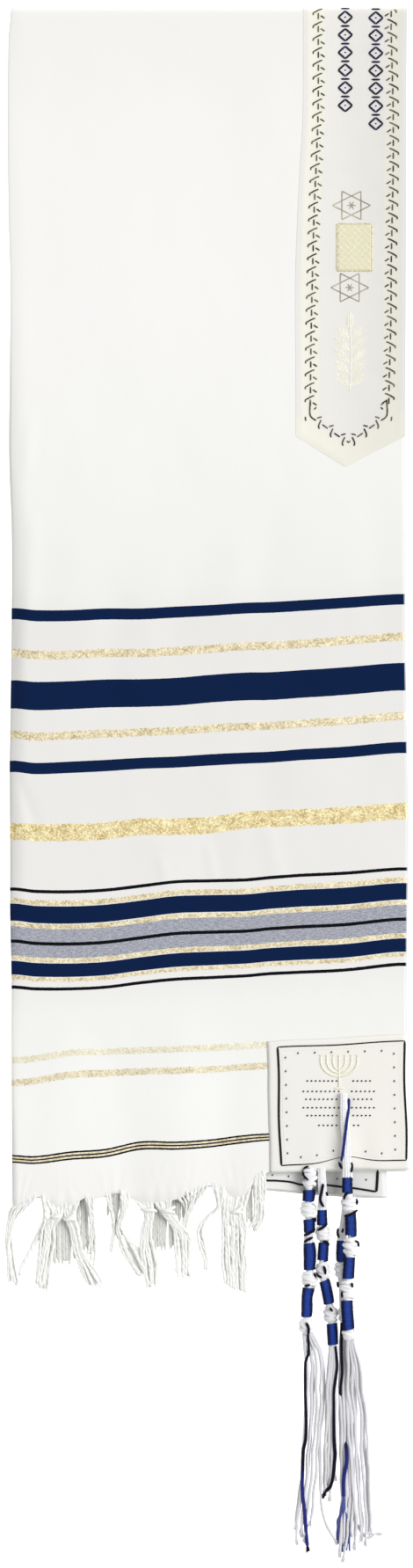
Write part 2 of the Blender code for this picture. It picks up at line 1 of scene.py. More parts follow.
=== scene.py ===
import math
import random
from collections import namedtuple
from functools import partial

import bmesh
import bpy
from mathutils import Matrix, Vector, noise


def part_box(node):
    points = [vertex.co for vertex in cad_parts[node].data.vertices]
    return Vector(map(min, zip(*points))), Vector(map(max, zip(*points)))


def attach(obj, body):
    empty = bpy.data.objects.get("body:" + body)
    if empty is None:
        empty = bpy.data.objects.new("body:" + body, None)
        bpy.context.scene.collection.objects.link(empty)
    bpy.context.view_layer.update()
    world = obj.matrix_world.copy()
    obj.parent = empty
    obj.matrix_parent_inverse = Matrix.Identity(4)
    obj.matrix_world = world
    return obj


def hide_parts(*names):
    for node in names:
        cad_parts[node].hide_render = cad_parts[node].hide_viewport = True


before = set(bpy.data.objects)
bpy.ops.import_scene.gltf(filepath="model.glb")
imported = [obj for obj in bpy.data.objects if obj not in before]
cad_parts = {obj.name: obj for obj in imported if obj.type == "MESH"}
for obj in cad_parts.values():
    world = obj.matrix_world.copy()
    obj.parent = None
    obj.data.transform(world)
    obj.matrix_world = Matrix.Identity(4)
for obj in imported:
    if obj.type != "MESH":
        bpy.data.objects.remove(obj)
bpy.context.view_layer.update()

# Sizes are in millimetres, in the frame's own axes: x across the folded shawl, y up it, z off the table.
mm = 0.001
bpy.ops.object.select_all(action="DESELECT")
random.seed(613)


def mix(a, b, share):
    return a + (b - a) * share


def evenly(start, end, count):
    # evenly spaced values from start to end, over this many steps
    return [mix(start, end, i / count) for i in range(count + 1)]


def ease(share):
    share = min(max(share, 0.0), 1.0)
    return share * share * (3 - 2 * share)


def curveThrough(before, start, end, after, share):
    # Catmull-Rom: passes through start and end with no flat spots between
    a = 2 * start
    b = end - before
    c = 2 * before - 5 * start + 4 * end - after
    d = -before + 3 * start - 3 * end + after
    return 0.5 * (a + (b + (c + d * share) * share) * share)


def readRow(stations, values, at):
    # the value at a place along a row of stations that run upwards
    last = len(stations) - 1
    if at <= stations[0]:
        return values[0]
    if at >= stations[last]:
        return values[last]
    step = next(i for i in range(last) if at <= stations[i + 1])
    share = (at - stations[step]) / (stations[step + 1] - stations[step])
    before, after = values[max(step - 1, 0)], values[min(step + 2, last)]
    return curveThrough(before, values[step], values[step + 1], after, share)


def rowAt(rows, y, *names):
    # named columns of a table of rows, read at a height
    rows = sorted(rows, key=lambda row: row.y)
    stations = [row.y for row in rows]
    return [readRow(stations, [getattr(row, name) for row in rows], y) for name in names]


def between(corners, across, down):
    # a point of a four-cornered field by its shares across and down
    (ax, ay), (bx, by), (cx, cy), (dx, dy) = corners
    x = mix(mix(ax, bx, across), mix(dx, cx, across), down)
    return x, mix(mix(ay, by, across), mix(dy, cy, across), down)


def hump(place, middle, spread):
    # a bell curve, 1 at its middle
    return math.exp(-((place - middle) / spread) ** 2)


def smoothPath(points, spacing):
    # a smooth line through given points, with points about this far apart
    points = [Vector(p) for p in points]
    path = [points[0]]
    for i in range(len(points) - 1):
        before, after = points[max(i - 1, 0)], points[min(i + 2, len(points) - 1)]
        steps = max(1, round((points[i + 1] - points[i]).length / spacing))
        for step in range(1, steps + 1):
            path.append(curveThrough(before, points[i], points[i + 1], after, step / steps))
    return path


studio = {
    "floorSize": 14.0,
    "floorPaper": "FBFBFB",
    "floorGlow": 0.85,  # the paper is lit a little from below, which keeps its shadows faint
    "domeStrength": 0.675,
    "keyStrength": 2.63,
    "keySoftness": 40,  # degrees across, as from a wide softbox
    "keyFrom": (0.70, 0.28, 0.656),
    "lens": 100,
    "sensor": 36,
    "frameLength": 1.2000,  # metres of table from the top of the frame to its bottom
    "lookAt": (-0.0017, -0.1403),
    "frameHeight": 0.009,  # the frame is measured at the top of the cloth
}


def linear(hexColour):
    channels = [int(hexColour[i:i + 2], 16) / 255 for i in (0, 2, 4)]
    return tuple(c / 12.92 if c <= 0.04045 else ((c + 0.055) / 1.055) ** 2.4 for c in channels) + (1.0,)


def setInputs(node, inputs):
    # values are set, sockets are linked, and a node stands for its first live output
    for name, value in inputs.items() if isinstance(inputs, dict) else enumerate(inputs):
        if isinstance(value, bpy.types.Node):
            value = next(socket for socket in value.outputs if socket.enabled)
        if isinstance(value, bpy.types.NodeSocket):
            node.id_data.links.new(value, node.inputs[name])
        else:
            node.inputs[name].default_value = value


def addNode(tree, kind, settings, inputs):
    made = tree.nodes.new("ShaderNode" + kind)
    for name, value in settings.items():
        setattr(made, name, value)
    setInputs(made, inputs)
    return made


# settings of nodes, named for what they do
mathsNames = "ADD SUBTRACT MULTIPLY DIVIDE MULTIPLY_ADD ABSOLUTE SINE COMPARE GREATER_THAN MAXIMUM".split()
add, subtract, multiply, divide, multiplyAdd, absolute, sine, compare, greater, largest = (
    {"operation": name} for name in mathsNames)
clamped = {"operation": "MULTIPLY_ADD", "use_clamp": True}
colours = {"data_type": "RGBA"}  # such a Mix node takes its share at input 0 and its colours at 6 and 7
softEdge = {"interpolation_type": "SMOOTHSTEP"}
flatCut = {"uv_map": "flatCut"}


def patternScale(size):
    # from the real size of what a pattern draws, in millimetres
    return 1 / (size * mm)


def startFinish(name):
    finish = bpy.data.materials.new(name)
    finish.use_nodes = True
    return finish, partial(addNode, finish.node_tree), finish.node_tree.nodes["Principled BSDF"]


def buildStudio():
    white = (1, 1, 1, 1)
    bpy.ops.mesh.primitive_plane_add(size=studio["floorSize"], location=(0, 0, 0))
    floor = bpy.context.object
    floor.name = "studioFloor"
    paper, _, shader = startFinish("mattWhitePaper")  # seamless background paper, no gloss
    setInputs(shader, {"Base Color": linear(studio["floorPaper"]), "Roughness": 0.95, "Emission Color": white,
                       "Emission Strength": studio["floorGlow"]})
    floor.data.materials.append(paper)
    world = bpy.data.worlds.new("softDome")
    world.use_nodes = True
    setInputs(world.node_tree.nodes["Background"], {"Color": white, "Strength": studio["domeStrength"]})
    bpy.context.scene.world = world
    bpy.ops.object.light_add(type="SUN", location=(1, 1, 2))
    key = bpy.context.object
    key.name = "softKey"
    key.data.energy = studio["keyStrength"]
    key.data.angle = math.radians(studio["keySoftness"])
    key.rotation_mode = "QUATERNION"
    key.rotation_quaternion = Vector(studio["keyFrom"]).to_track_quat("Z", "Y")
    away = studio["frameLength"] * studio["lens"] / studio["sensor"] + studio["frameHeight"]
    bpy.ops.object.camera_add(location=(*studio["lookAt"], away), rotation=(0, 0, 0))
    camera = bpy.context.object
    camera.data.lens = studio["lens"]
    camera.data.sensor_width = studio["sensor"]
    camera.data.clip_end = 100
    bpy.context.scene.camera = camera
    bpy.context.scene.view_settings.view_transform = "Standard"
    return floor


floor = buildStudio()
print("studio ready")


def addSheet(name, rows, flatRows, thickness, finish):
    # a thin sheet through rows of points; flatRows gives each point's place on the flat cut, in metres
    mesh = bpy.data.meshes.new(name)
    count = len(rows[0])
    points = [Vector(p) * mm for row in rows for p in row]
    flat = [uv for row in flatRows for uv in row]
    faces = []
    for r in range(len(rows) - 1):
        for c in range(count - 1):
            faces.append((r * count + c, (r + 1) * count + c, (r + 1) * count + c + 1, r * count + c + 1))
    mesh.from_pydata(points, [], faces)
    flatMap = mesh.uv_layers.new(name="flatCut")
    for loop in mesh.loops:
        flatMap.data[loop.index].uv = flat[loop.vertex_index]
    piece = bpy.data.objects.new(name, mesh)
    bpy.context.scene.collection.objects.link(piece)
    mesh.materials.append(finish)
    selectOnly(piece)
    bpy.ops.object.shade_smooth()
    wall = piece.modifiers.new("wall", "SOLIDIFY")
    wall.thickness = thickness * mm
    wall.offset = 0
    bpy.ops.object.modifier_apply(modifier="wall")
    return piece


def selectOnly(piece):
    bpy.ops.object.select_all(action="DESELECT")
    piece.select_set(True)
    bpy.context.view_layer.objects.active = piece


def addThreads(name, threads, finish, sides=6):
    # many threads in one piece; each is {"path": points, "radius": one or a list, "closed": bool}
    line = bpy.data.curves.new(name, "CURVE")
    line.dimensions = "3D"
    line.bevel_depth = mm
    line.bevel_resolution = sides // 2 - 2
    line.use_fill_caps = True
    for thread in threads:
        spline = line.splines.new("POLY")
        spline.points.add(len(thread["path"]) - 1)
        spline.use_cyclic_u = thread.get("closed", False)
        radii = thread["radius"]
        for i, point in enumerate(thread["path"]):
            spline.points[i].co = (*(Vector(point) * mm), 1)
            spline.points[i].radius = radii[i] if isinstance(radii, list) else radii
    piece = bpy.data.objects.new(name, line)
    bpy.context.scene.collection.objects.link(piece)
    line.materials.append(finish)
    selectOnly(piece)
    bpy.ops.object.convert(target="MESH")
    piece = bpy.context.object
    bpy.ops.object.shade_smooth()
    return piece


def tapered(count, radius, tip=0.35, run=3):
    # thread radii that thin out at both ends
    return [radius * mix(tip, 1, ease(min(i, count - 1 - i) / run)) for i in range(count)]


def onBody(piece, slot, *nodes):
    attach(piece, "root")
    if nodes:
        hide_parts(*nodes)
    return piece


# Weft bands, later yarns over earlier ones: where each band's middle lies below the top fold, and its width
bands = {
    "heather": ((701.8, 10.2), (714.0, 9.7)),
    "navy": ((461.7, 8.4), (521.6, 21.2), (576.1, 8.7), (686.1, 13.0), (728.1, 10.4)),
    "palestGold": ((796.5, 5.0),),
    "paleGold": ((813.0, 5.0),),
    "thinGold": ((491.0, 6.2), (551.9, 6.0), (677.1, 3.8), (694.9, 3.4), (720.6, 3.4), (735.3, 2.8),
                 (868.4, 1.4), (870.8, 1.4)),
    "gold": ((625.9, 12.8),),
    "black": ((668.7, 2.5), (708.0, 2.6), (742.7, 2.5), (867.1, 1.3), (869.6, 1.1), (872.1, 1.3)),
}

# Each lurex mixes a shadowed and a lit tone, glint by glint
yarns = {
    "navy": ("05173A", "0F2247"),
    "black": ("08090D", "101218"),
    "gold": ("B39A58", "FBF0C6"),
    "thinGold": ("AF9C6F", "F6EDD0"),
    "paleGold": ("BDB08E", "F2EAD0"),
    "palestGold": ("D0C8AA", "F0ECDB"),
    "heather": ("7E8086", "ACAFBB"),
    "selvedge": ("C8CAD2", "DCDDE2"),
}

# The white ground along the cloth: its place below the top fold in mm and its tone. It is drawn greyer along
# the middle, among the dyed bands: painted shade.
ground = (
    (0, "DFDEDC"), (90, "E2E1DE"), (230, "E3E2E0"), (370, "E0E0DD"), (440, "DDDDDA"), (470, "D8D7D4"),
    (640, "D9D8D5"), (735, "DAD9D7"), (765, "DFDFDC"), (830, "E2E2DF"), (905, "E1E0DE"),
)

weave = {
    "length": 1.0,  # metres of flat cloth that the tone ramp covers
    "thread": 0.5,  # mm between threads
    "glint": 1.15,  # mm across a glint of lurex, drawn coarser than the real half millimetre so that it shows
    "cloud": 9.1,  # mm across the drifts in how much the lurex glints
    "streak": (3.85, 0.667),  # mm along and across a streak of the heather
    "fleck": 0.91,
    "slub": (1.11, 8.33),
    "ragged": 0.75,  # mm by which the lurex bands' edges wander, and mm along each of their waves
    "fray": 1.54,
    "selvedgeFrom": 298.9,  # mm from the lengthwise fold, where the coloured wefts turn back
}


def wovenClothFinish():
    # Acrylic cloth, plain woven: matt, slightly hairy white with crisp dyed wefts and glinting lurex ones
    finish, node, shader = startFinish("plainWovenAcrylic")
    flat = node("UVMap", flatCut, {})
    parts = node("SeparateXYZ", {}, [flat])
    down = node("Math", absolute, [parts.outputs["Y"]])
    out = node("Math", absolute, [parts.outputs["X"]])

    # the lurex bands' edges are ragged, the dyed ones nearly straight
    frayed = node("TexNoise", {}, {"Vector": flat, "Scale": patternScale(weave["fray"]), "Detail": 1.0})
    wander = node("Math", subtract, [frayed, 0.5])
    ragged = node("Math", multiplyAdd, [wander, 4 * weave["ragged"] * mm, down])
    straight = node("Math", multiplyAdd, [wander, 0.5 * weave["ragged"] * mm, down])

    glints = node("TexVoronoi", {}, {"Vector": flat, "Scale": patternScale(weave["glint"])})
    glint = node("SeparateColor", {}, [glints.outputs["Color"]])
    clouds = node("TexNoise", {}, {"Vector": flat, "Scale": patternScale(weave["cloud"]), "Detail": 2.0})
    glint = node("Math", multiplyAdd, [glint, 0.75, -0.28])
    glint = node("Math", clamped, [clouds, 0.9, glint])

    # heather: navy and white threads side by side, streaked along the weft
    streaks = node("Mapping", {}, {"Vector": flat, "Scale": (*map(patternScale, weave["streak"]), 1.0)})
    streak = node("TexNoise", {}, {"Vector": streaks, "Scale": 1.0})
    fleck = node("TexNoise", {}, {"Vector": flat, "Scale": patternScale(weave["fleck"]), "Detail": 2.0})
    blend = node("Math", add, [streak, fleck])
    blend = node("Math", clamped, [blend, 2.6, -2.1])

    along = node("Math", divide, [down, weave["length"]])
    colour = node("ValToRGB", {}, [along])
    stops = colour.color_ramp.elements
    stops.remove(stops[1])
    stops[0].position, stops[0].color = 0.0, linear(ground[0][1])
    for at, tone in ground[1:]:
        stops.new(at * mm / weave["length"]).color = linear(tone)
    lurex = 0.0
    for yarn, rows in bands.items():
        share = {"heather": blend, "navy": fleck, "black": fleck}.get(yarn, glint)
        place = ragged if share is glint else straight
        mask = 0.0
        for at, wide in rows:
            inside = node("Math", compare, [place, at * mm, wide / 2 * mm])
            mask = node("Math", add, [mask, inside])
        dark, light = yarns[yarn]
        dyed = node("Mix", colours, {0: share, 6: linear(dark), 7: linear(light)})
        colour = node("Mix", colours, {0: mask, 6: colour, 7: dyed})
        if place is ragged:
            lurex = node("Math", add, [lurex, mask])
    atSelvedge = node("Math", greater, [out, weave["selvedgeFrom"] * mm])
    faded = node("Mix", colours, {0: 0.6, 6: colour, 7: linear(yarns["selvedge"][0])})
    colour = node("Mix", colours, {0: atSelvedge, 6: colour, 7: faded})

    # plain weave: threads over and under each other
    turns = math.pi / (weave["thread"] * mm)
    waves = [node("Math", sine, [node("Math", multiply, [parts.outputs[i], turns])]) for i in (0, 1)]
    crossings = node("Math", multiply, waves)
    slubs = node("Mapping", {}, {"Vector": flat, "Scale": (*map(patternScale, weave["slub"]), 1.0)})
    slub = node("TexNoise", {}, {"Vector": slubs, "Scale": 1.0})
    height = node("Math", multiplyAdd, [crossings, 0.3, slub])
    lumps = node("Math", multiply, [glint, lurex])
    height = node("Math", multiplyAdd, [lumps, 3.0, height])
    bump = node("Bump", {}, {"Height": height, "Distance": 0.06 * mm, "Strength": 0.5})
    metallic = node("Math", multiply, [lurex, 0.4])
    roughness = node("Math", multiplyAdd, [lurex, -0.45, 0.92])
    setInputs(shader, {"Base Color": colour, "Metallic": metallic, "Roughness": roughness, "Normal": bump,
                       "Sheen Weight": 0.02, "Sheen Roughness": 0.5, "Specular IOR Level": 0.05})
    return finish


cloth = {
    "width": 300.0,  # half of the cloth's own width: the shawl is folded lengthwise
    "foldY": 450.0,
    "middle": 4.5,  # height of the plane that the top fold turns about
    "outer": 4.2,  # the outer layers lie this far above and below it
    "inner": 1.0,  # and the inner layers this far at the lengthwise fold
    "innerOpen": (1.6, 1.2),  # at the open side: second layer, third layer
    "thickness": 0.5,
    "hemDrape": 0.24,  # how much the hem comes down for each mm that a knot draws it out
    "hiddenHem": 4.0,
    "hemMiddleY": -446.9,
    "crest": 454.3,  # the top fold's furthest line, from which the bands are measured
    "edgeStep": 1.2,  # columns close together beside the lengthwise fold, then wider ones
    "edgeWide": 15.6,
    "acrossStep": 2.6,
    "sideSteps": 7,
    "hiddenColumns": 24,
    "hiddenSpread": 1.3,  # they are closer together beside the fold
    "sideFlat": 0.6,  # the cloth in each half of the turn round the lengthwise fold
    "rollSteps": 8,
    "upperRows": 66,
    "lowerRows": 146,
    "lowerFrom": 20.0,  # rows are closer together below this
    "scallopRows": 10,
    "backRows": 40,
    "backFold": 2.6,  # the lower pair's fold lies this far inside the upper pair's
    "calmEdge": 12.0,
    "deepest": 0.9,
}

# How far the cloth sinks towards its lengthwise fold, and over what width, from the hem up
Sink = namedtuple("Sink", "y drop wide")
sinks = [Sink(*row) for row in (
    (-470, 3.0, 4.5), (-440, 2.8, 4.5), (-395, 1.2, 5.5), (-370, 0.8, 6.0), (-310, 0.8, 8.5),
    (-250, 2.6, 11.5), (-200, 3.6, 13.5), (-140, 3.8, 13.0), (-90, 5.4, 16.0), (-50, 6.2, 13.5),
    (-20, 5.6, 14.0), (20, 4.3, 14.5), (60, 3.9, 14.0), (110, 2.6, 14.0), (160, 1.8, 14.0),
    (225, 1.0, 14.0), (290, 0.6, 12.0), (360, 0.45, 11.0), (430, 0.4, 13.0), (460, 0.4, 8.0),
)]

# The upper pair's fold: its radius up the shawl, before it sinks
rollY = (-470, -420, -370, -310, -250, -200, 60, 160, 225, 460)
rollSize = (1.6, 1.3, 0.9, 0.9, 1.4, 1.6, 1.6, 1.25, 0.9, 0.8)

# The front hem is drawn down towards the fringe's knots: how far at places across it
scallopX = (
    -150, -147, -138, -129, -124, -119, -116, -108, -103, -100, -95, -88, -80, -74, -68, -62, -57, -53, -47,
    -36, -30, -25, -19, -15, -6, 0, 7, 10, 16, 20, 24, 29, 33, 36, 42,
)
scallopDrop = (
    8.5, 8.5, 4.0, 0.6, 3.8, 8.0, 9.2, 8.2, 7.8, 5.0, 1.8, 3.2, 1.2, 0.0, 0.0, 3.0, 6.2, 9.5, 10.0,
    10.8, 9.5, 9.0, 6.8, 4.6, 2.2, 0.6, 2.4, 3.8, 9.2, 11.6, 11.8, 9.8, 4.0, 1.0, 0.0,
)

# Outline: left fold and right selvedges at a height up the shawl
edgeY = (-460, -440, -380, -330, -290, -240, -180, -125, -40, 50, 110, 160, 240, 300, 370, 430, 454)
edgeLeft = (
    -150.6, -150.6, -150.9, -151.0, -151.0, -152.1, -152.3, -152.5, -151.3,
    -151.0, -153.0, -152.7, -151.9, -153.3, -153.9, -153.3, -151.3,
)
edgeRight = (
    154.6, 154.2, 153.1, 152.1, 151.9, 152.3, 152.9, 152.4, 150.8,
    150.5, 150.3, 150.6, 150.9, 151.1, 151.2, 151.6, 151.9,
)

# How far the wefts run above or below their height at x = 2, across the cloth, from the hem up
weftX = (-148, -133, -106, -79, -52, -25, 2, 29, 46, 70, 105, 146)
Weft = namedtuple("Weft", "y lifts")
wefts = [Weft(*row) for row in (
    (-446.9, (-8.7, -8.7, -8.7, -7.6, -5.2, -2.7, 0, 1.8, 9.5, 11.4, 11.4, 11.5)),
    (-415.2, (-12.1, -12.8, -9.4, -7.4, -1.7, -1.7, 0, 3.4, 4.7, 6.0, 8.0, 10.0)),
    (-350.0, (-9.9, -8.1, -3.7, -2.7, -1.7, -0.8, 0, 1.7, 2.6, 3.2, 4.0, 4.5)),
    (-288.4, (-7.4, -8.7, -8.7, -7.4, -4.0, -1.3, 0, 1.3, 2.9, 4.1, 5.8, 10.1)),
    (-214.4, (-6.4, -8.1, -8.4, -7.1, -4.0, -0.7, 0, 0.7, 2.4, 4.2, 5.9, 9.1)),
    (-171.6, (-5.0, -5.7, -5.7, -4.4, -1.3, -1.3, 0, 3.7, 4.8, 5.8, 7.5, 10.4)),
    (-121.8, (-5.0, -6.7, -5.7, -4.4, -2.7, -1.7, 0, 1.3, 2.0, 3.9, 5.9, 9.4)),
    (-67.3, (-4.4, -5.7, -5.0, -3.7, -3.4, -2.4, 0, 1.7, 1.9, 3.5, 5.8, 9.1)),
    (-7.4, (-2.4, -4.0, -4.0, -2.7, -2.7, -1.3, 0, 1.7, 2.2, 3.6, 5.8, 8.4)),
    (330.0, (-1.0, -1.0, -1.0, -0.5, 0, 0, 0, 0, 0, 0.5, 1.0, 2.0)),
    (450.0, (0, 0, 0, 0, 0, 0, 0, 0, 0, 0, 0, 0)),
)]

# Soft creases: a line, how wide it spreads and how high it stands
Crease = namedtuple("Crease", "x0 y0 x1 y1 spread height")
creases = [Crease(*row) for row in (
    (-24, -16, 10, 62, 20, -0.7), (42, 64, 40, 6, 15, -0.6), (128, 70, 132, -8, 14, -0.5),
    (-72, -6, -76, -66, 18, -0.7), (-104, 40, -92, -30, 20, 0.5), (38, -120, 44, -160, 16, -0.6),
    (90, -60, 84, -130, 22, 0.5), (-36, -190, -30, -225, 16, 0.6), (2, -185, 8, -235, 14, -0.6),
    (-110, -350, -116, -440, 18, 0.6), (-70, -360, -60, -450, 16, -0.7), (-20, -340, -24, -445, 18, 0.6),
    (16, -370, 12, -442, 14, -0.6), (-90, 300, -60, 180, 40, 0.5), (0, 380, 20, 240, 34, -0.5),
    (-146, -138, -134, -168, 5, -0.5), (0, -190, 4, -212, 4, 0.45), (-36, -198, -33, -214, 4, 0.35),
    (-136, 134, -139, 104, 5, 0.4), (-134, 56, -137, -10, 6, 0.45), (46, -178, 52, -206, 7, 0.5),
)]

# Waves all over the cloth: height, length across, length along and seed
clothWaves = ((0.40, 60, 85, 3.1), (0.12, 17, 30, 9.7))

# Knots of the fringe that gather the hem above them into small fans of pleats
pleats = {"height": 0.34, "reach": 15, "pitch": 6.1, "fan": 26, "waver": 0.5}
gathers = ((-147, -472), (-111, -471), (-72, -478), (-39, -466), (-15, -470), (21, -467))

# Lower edges of the hidden layers, and how far inside the front layer's right edge they end
thirdHemX = (-155, -60, 0, 33, 138)
thirdHemY = (-451.0, -447.0, -444.0, -450.4, -457.8)
hiddenEdge = {
    "secondHem": 2.0,
    "fourthHem": 4.0,
    "secondRight": 2.0,
    "thirdRight": 3.0,
    "thirdShift": 15.0,  # the third layer slants in by this much at the hem
    "shiftFrom": -60.0,
    "shiftLong": 390,
    "free": 60,  # mm from the fold before a hidden layer lies as it likes
    "wave": (0.3, 0.35),  # how much the second and third layers wave
    "apart": 0.9,
}


def leftEdge(y):
    return readRow(edgeY, edgeLeft, y)


def rightEdge(y):
    return readRow(edgeY, edgeRight, y)


def weftLift(x, middleY):
    heights = [weft.y for weft in wefts]
    if middleY >= heights[-1]:
        return 0.0
    last = len(wefts) - 1
    step = next((i for i in range(last) if middleY <= heights[i + 1]), 0)
    share = (middleY - heights[step]) / (heights[step + 1] - heights[step])
    near = (max(step - 1, 0), step, step + 1, min(step + 2, last))
    return curveThrough(*(readRow(weftX, wefts[i].lifts, x) for i in near), min(max(share, 0.0), 1.0))


def frontHem(x):
    return cloth["hemMiddleY"] + weftLift(x, cloth["hemMiddleY"])


def clothRelief(x, y):
    # height of the soft creases, waves and hem gathers above the calm cloth
    total = 0.0
    for crease in creases:
        runX, runY = crease.x1 - crease.x0, crease.y1 - crease.y0
        along = ((x - crease.x0) * runX + (y - crease.y0) * runY) / (runX * runX + runY * runY)
        along = min(max(along, 0.0), 1.0)
        away = math.hypot(x - crease.x0 - runX * along, y - crease.y0 - runY * along) / crease.spread
        if away < 3:
            total += crease.height * math.exp(-away * away)
    for height, wide, long, seed in clothWaves:
        total += height * noise.noise(Vector((x / wide, y / long, seed)))
    aboveHem = y - frontHem(x)
    if aboveHem < 3 * pleats["reach"] and x < 4 * pleats["reach"]:
        waver = pleats["waver"] * noise.noise(Vector((x / 19, 0.4, 5.2)))
        for knotX, knotY in gathers:
            fan = knotX + (x - knotX) * pleats["fan"] / max(y - knotY, 8.0)
            wide, long = (x - knotX) / pleats["reach"], max(aboveHem, 0.0) / pleats["reach"]
            near = pleats["height"] * math.exp(-wide ** 2 - long ** 2)
            total += near * math.sin(math.tau * (fan / pleats["pitch"] + waver))
    fromFold = max(x - leftEdge(y), 0.0)
    calm = ease(fromFold / cloth["calmEdge"]) * ease((cloth["foldY"] - y) / cloth["calmEdge"])
    return max(total, -cloth["deepest"]) * calm - foldSink(fromFold, y)


def foldSink(out, y):
    # how far the upper layer has sunk, this far in from the lengthwise fold
    wide, drop = rowAt(sinks, y, "wide", "drop")
    return drop * (1 - out / wide) ** 2.4 if out < wide else 0.0


def clothTop(x, y):
    # height of the front layer's upper face
    return cloth["middle"] + cloth["outer"] + cloth["thickness"] / 2 + clothRelief(x, y)


def layerPoint(outer, front, out, middleY):
    # a point of one of the four layers, this far out from the lengthwise fold
    share = out / cloth["width"]
    x = mix(leftEdge(middleY), rightEdge(middleY), share)
    y = middleY + weftLift(x, middleY)
    x = mix(leftEdge(y), rightEdge(y), share)
    top = cloth["middle"] + cloth["outer"] + clothRelief(x, y)
    if outer and front:
        return (x, y, top)
    hemShare = (cloth["foldY"] - middleY) / (cloth["foldY"] - cloth["hemMiddleY"])
    inset = hiddenEdge["secondRight"] if front else hiddenEdge["thirdRight"]
    hem = frontHem(x) + hiddenEdge["secondHem" if front else "fourthHem"]
    if not outer and not front:
        inset += hiddenEdge["thirdShift"] * ease((hiddenEdge["shiftFrom"] - y) / hiddenEdge["shiftLong"])
        hem = readRow(thirdHemX, thirdHemY, x)
    y += (hem - frontHem(x)) * hemShare * ease(out / 16)
    start = 0 if front else cloth["backFold"] * ease((cloth["foldY"] - y) / 30)
    x = mix(leftEdge(y) + start, rightEdge(y) - inset * ease(out / hiddenEdge["free"]), share)
    free = ease(out / hiddenEdge["free"]) * ease(hemShare * 6)
    wave = noise.noise(Vector((x / 50, y / 60, 21.0 + 7 * front + 3 * outer))) * free
    second = cloth["middle"] + mix(cloth["inner"], cloth["innerOpen"][0], free) + hiddenEdge["wave"][0] * wave
    fold = top - 2 * rollRadius(y)
    second = mix(fold, second + 0.5 * clothRelief(x, y), ease(out / 15))
    if front:
        return (x, y, second)
    third = cloth["middle"] - mix(cloth["inner"], cloth["innerOpen"][1], free) + hiddenEdge["wave"][1] * wave
    lowest = cloth["middle"] - cloth["outer"] + underRise(x, y)
    if outer:
        return (x, y, lowest)
    third = mix(max(min(third, second - hiddenEdge["apart"]), lowest + 0.1), third, ease(out / 24))
    return (x, y, third)


def rollRadius(y):
    # the upper pair's fold is pinched where it has sunk and where it is pressed flat
    return readRow(rollY, rollSize, y) - 0.13 * foldSink(0.0, y)


neckband = {
    "y": (100, 177, 231, 258, 285, 311, 338, 365, 392, 470),
    "left": (66.6, 66.6, 66.2, 66.6, 67.6, 68.8, 70.2, 71.8, 72.4, 72.4),
    "width": 82.0,
    "shoulderY": 126.0,
    "tipY": 102.3,
    "tipShare": 0.45,
    "height": 0.3,  # its face above the cloth's face
    "thickness": 0.35,
    "foot": 1.0,  # the room it takes under the shawl
    "rim": 0.3,  # width of the outermost column and row, which keeps the edge crisp
    "columns": 44,
    "frontRows": 150,
    "backRows": 30,
    "roll": 2.64,  # mm of the band to each radian round the top fold
}


def bandLeft(y):
    return readRow(neckband["y"], neckband["left"], y)


def bandEnd(share):
    tip = neckband["tipShare"]
    if share < tip:
        return mix(neckband["shoulderY"], neckband["tipY"], share / tip)
    return mix(neckband["tipY"], neckband["shoulderY"], (share - tip) / (1 - tip))


# Where the lowest layer comes up over the hidden halves: how far outside the band it starts, the corner of
# the patch, and the width of each slope
rise = {"bandOut": 16, "bandWide": 14, "patchLeft": 43, "patchTop": -326, "patchWide": 12}


def underRise(x, y):
    # the lowest layer lies over the neckband's and the patch's hidden halves
    out, wide, patchWide = rise["bandOut"], rise["bandWide"], rise["patchWide"]
    overBand = ease((x - bandLeft(min(y, 470)) + out) / wide) * ease((y - neckband["tipY"] + out) / wide)
    overPatch = ease((x - rise["patchLeft"]) / patchWide) * ease((rise["patchTop"] - y) / patchWide)
    return max(overBand, overPatch) * neckband["foot"]


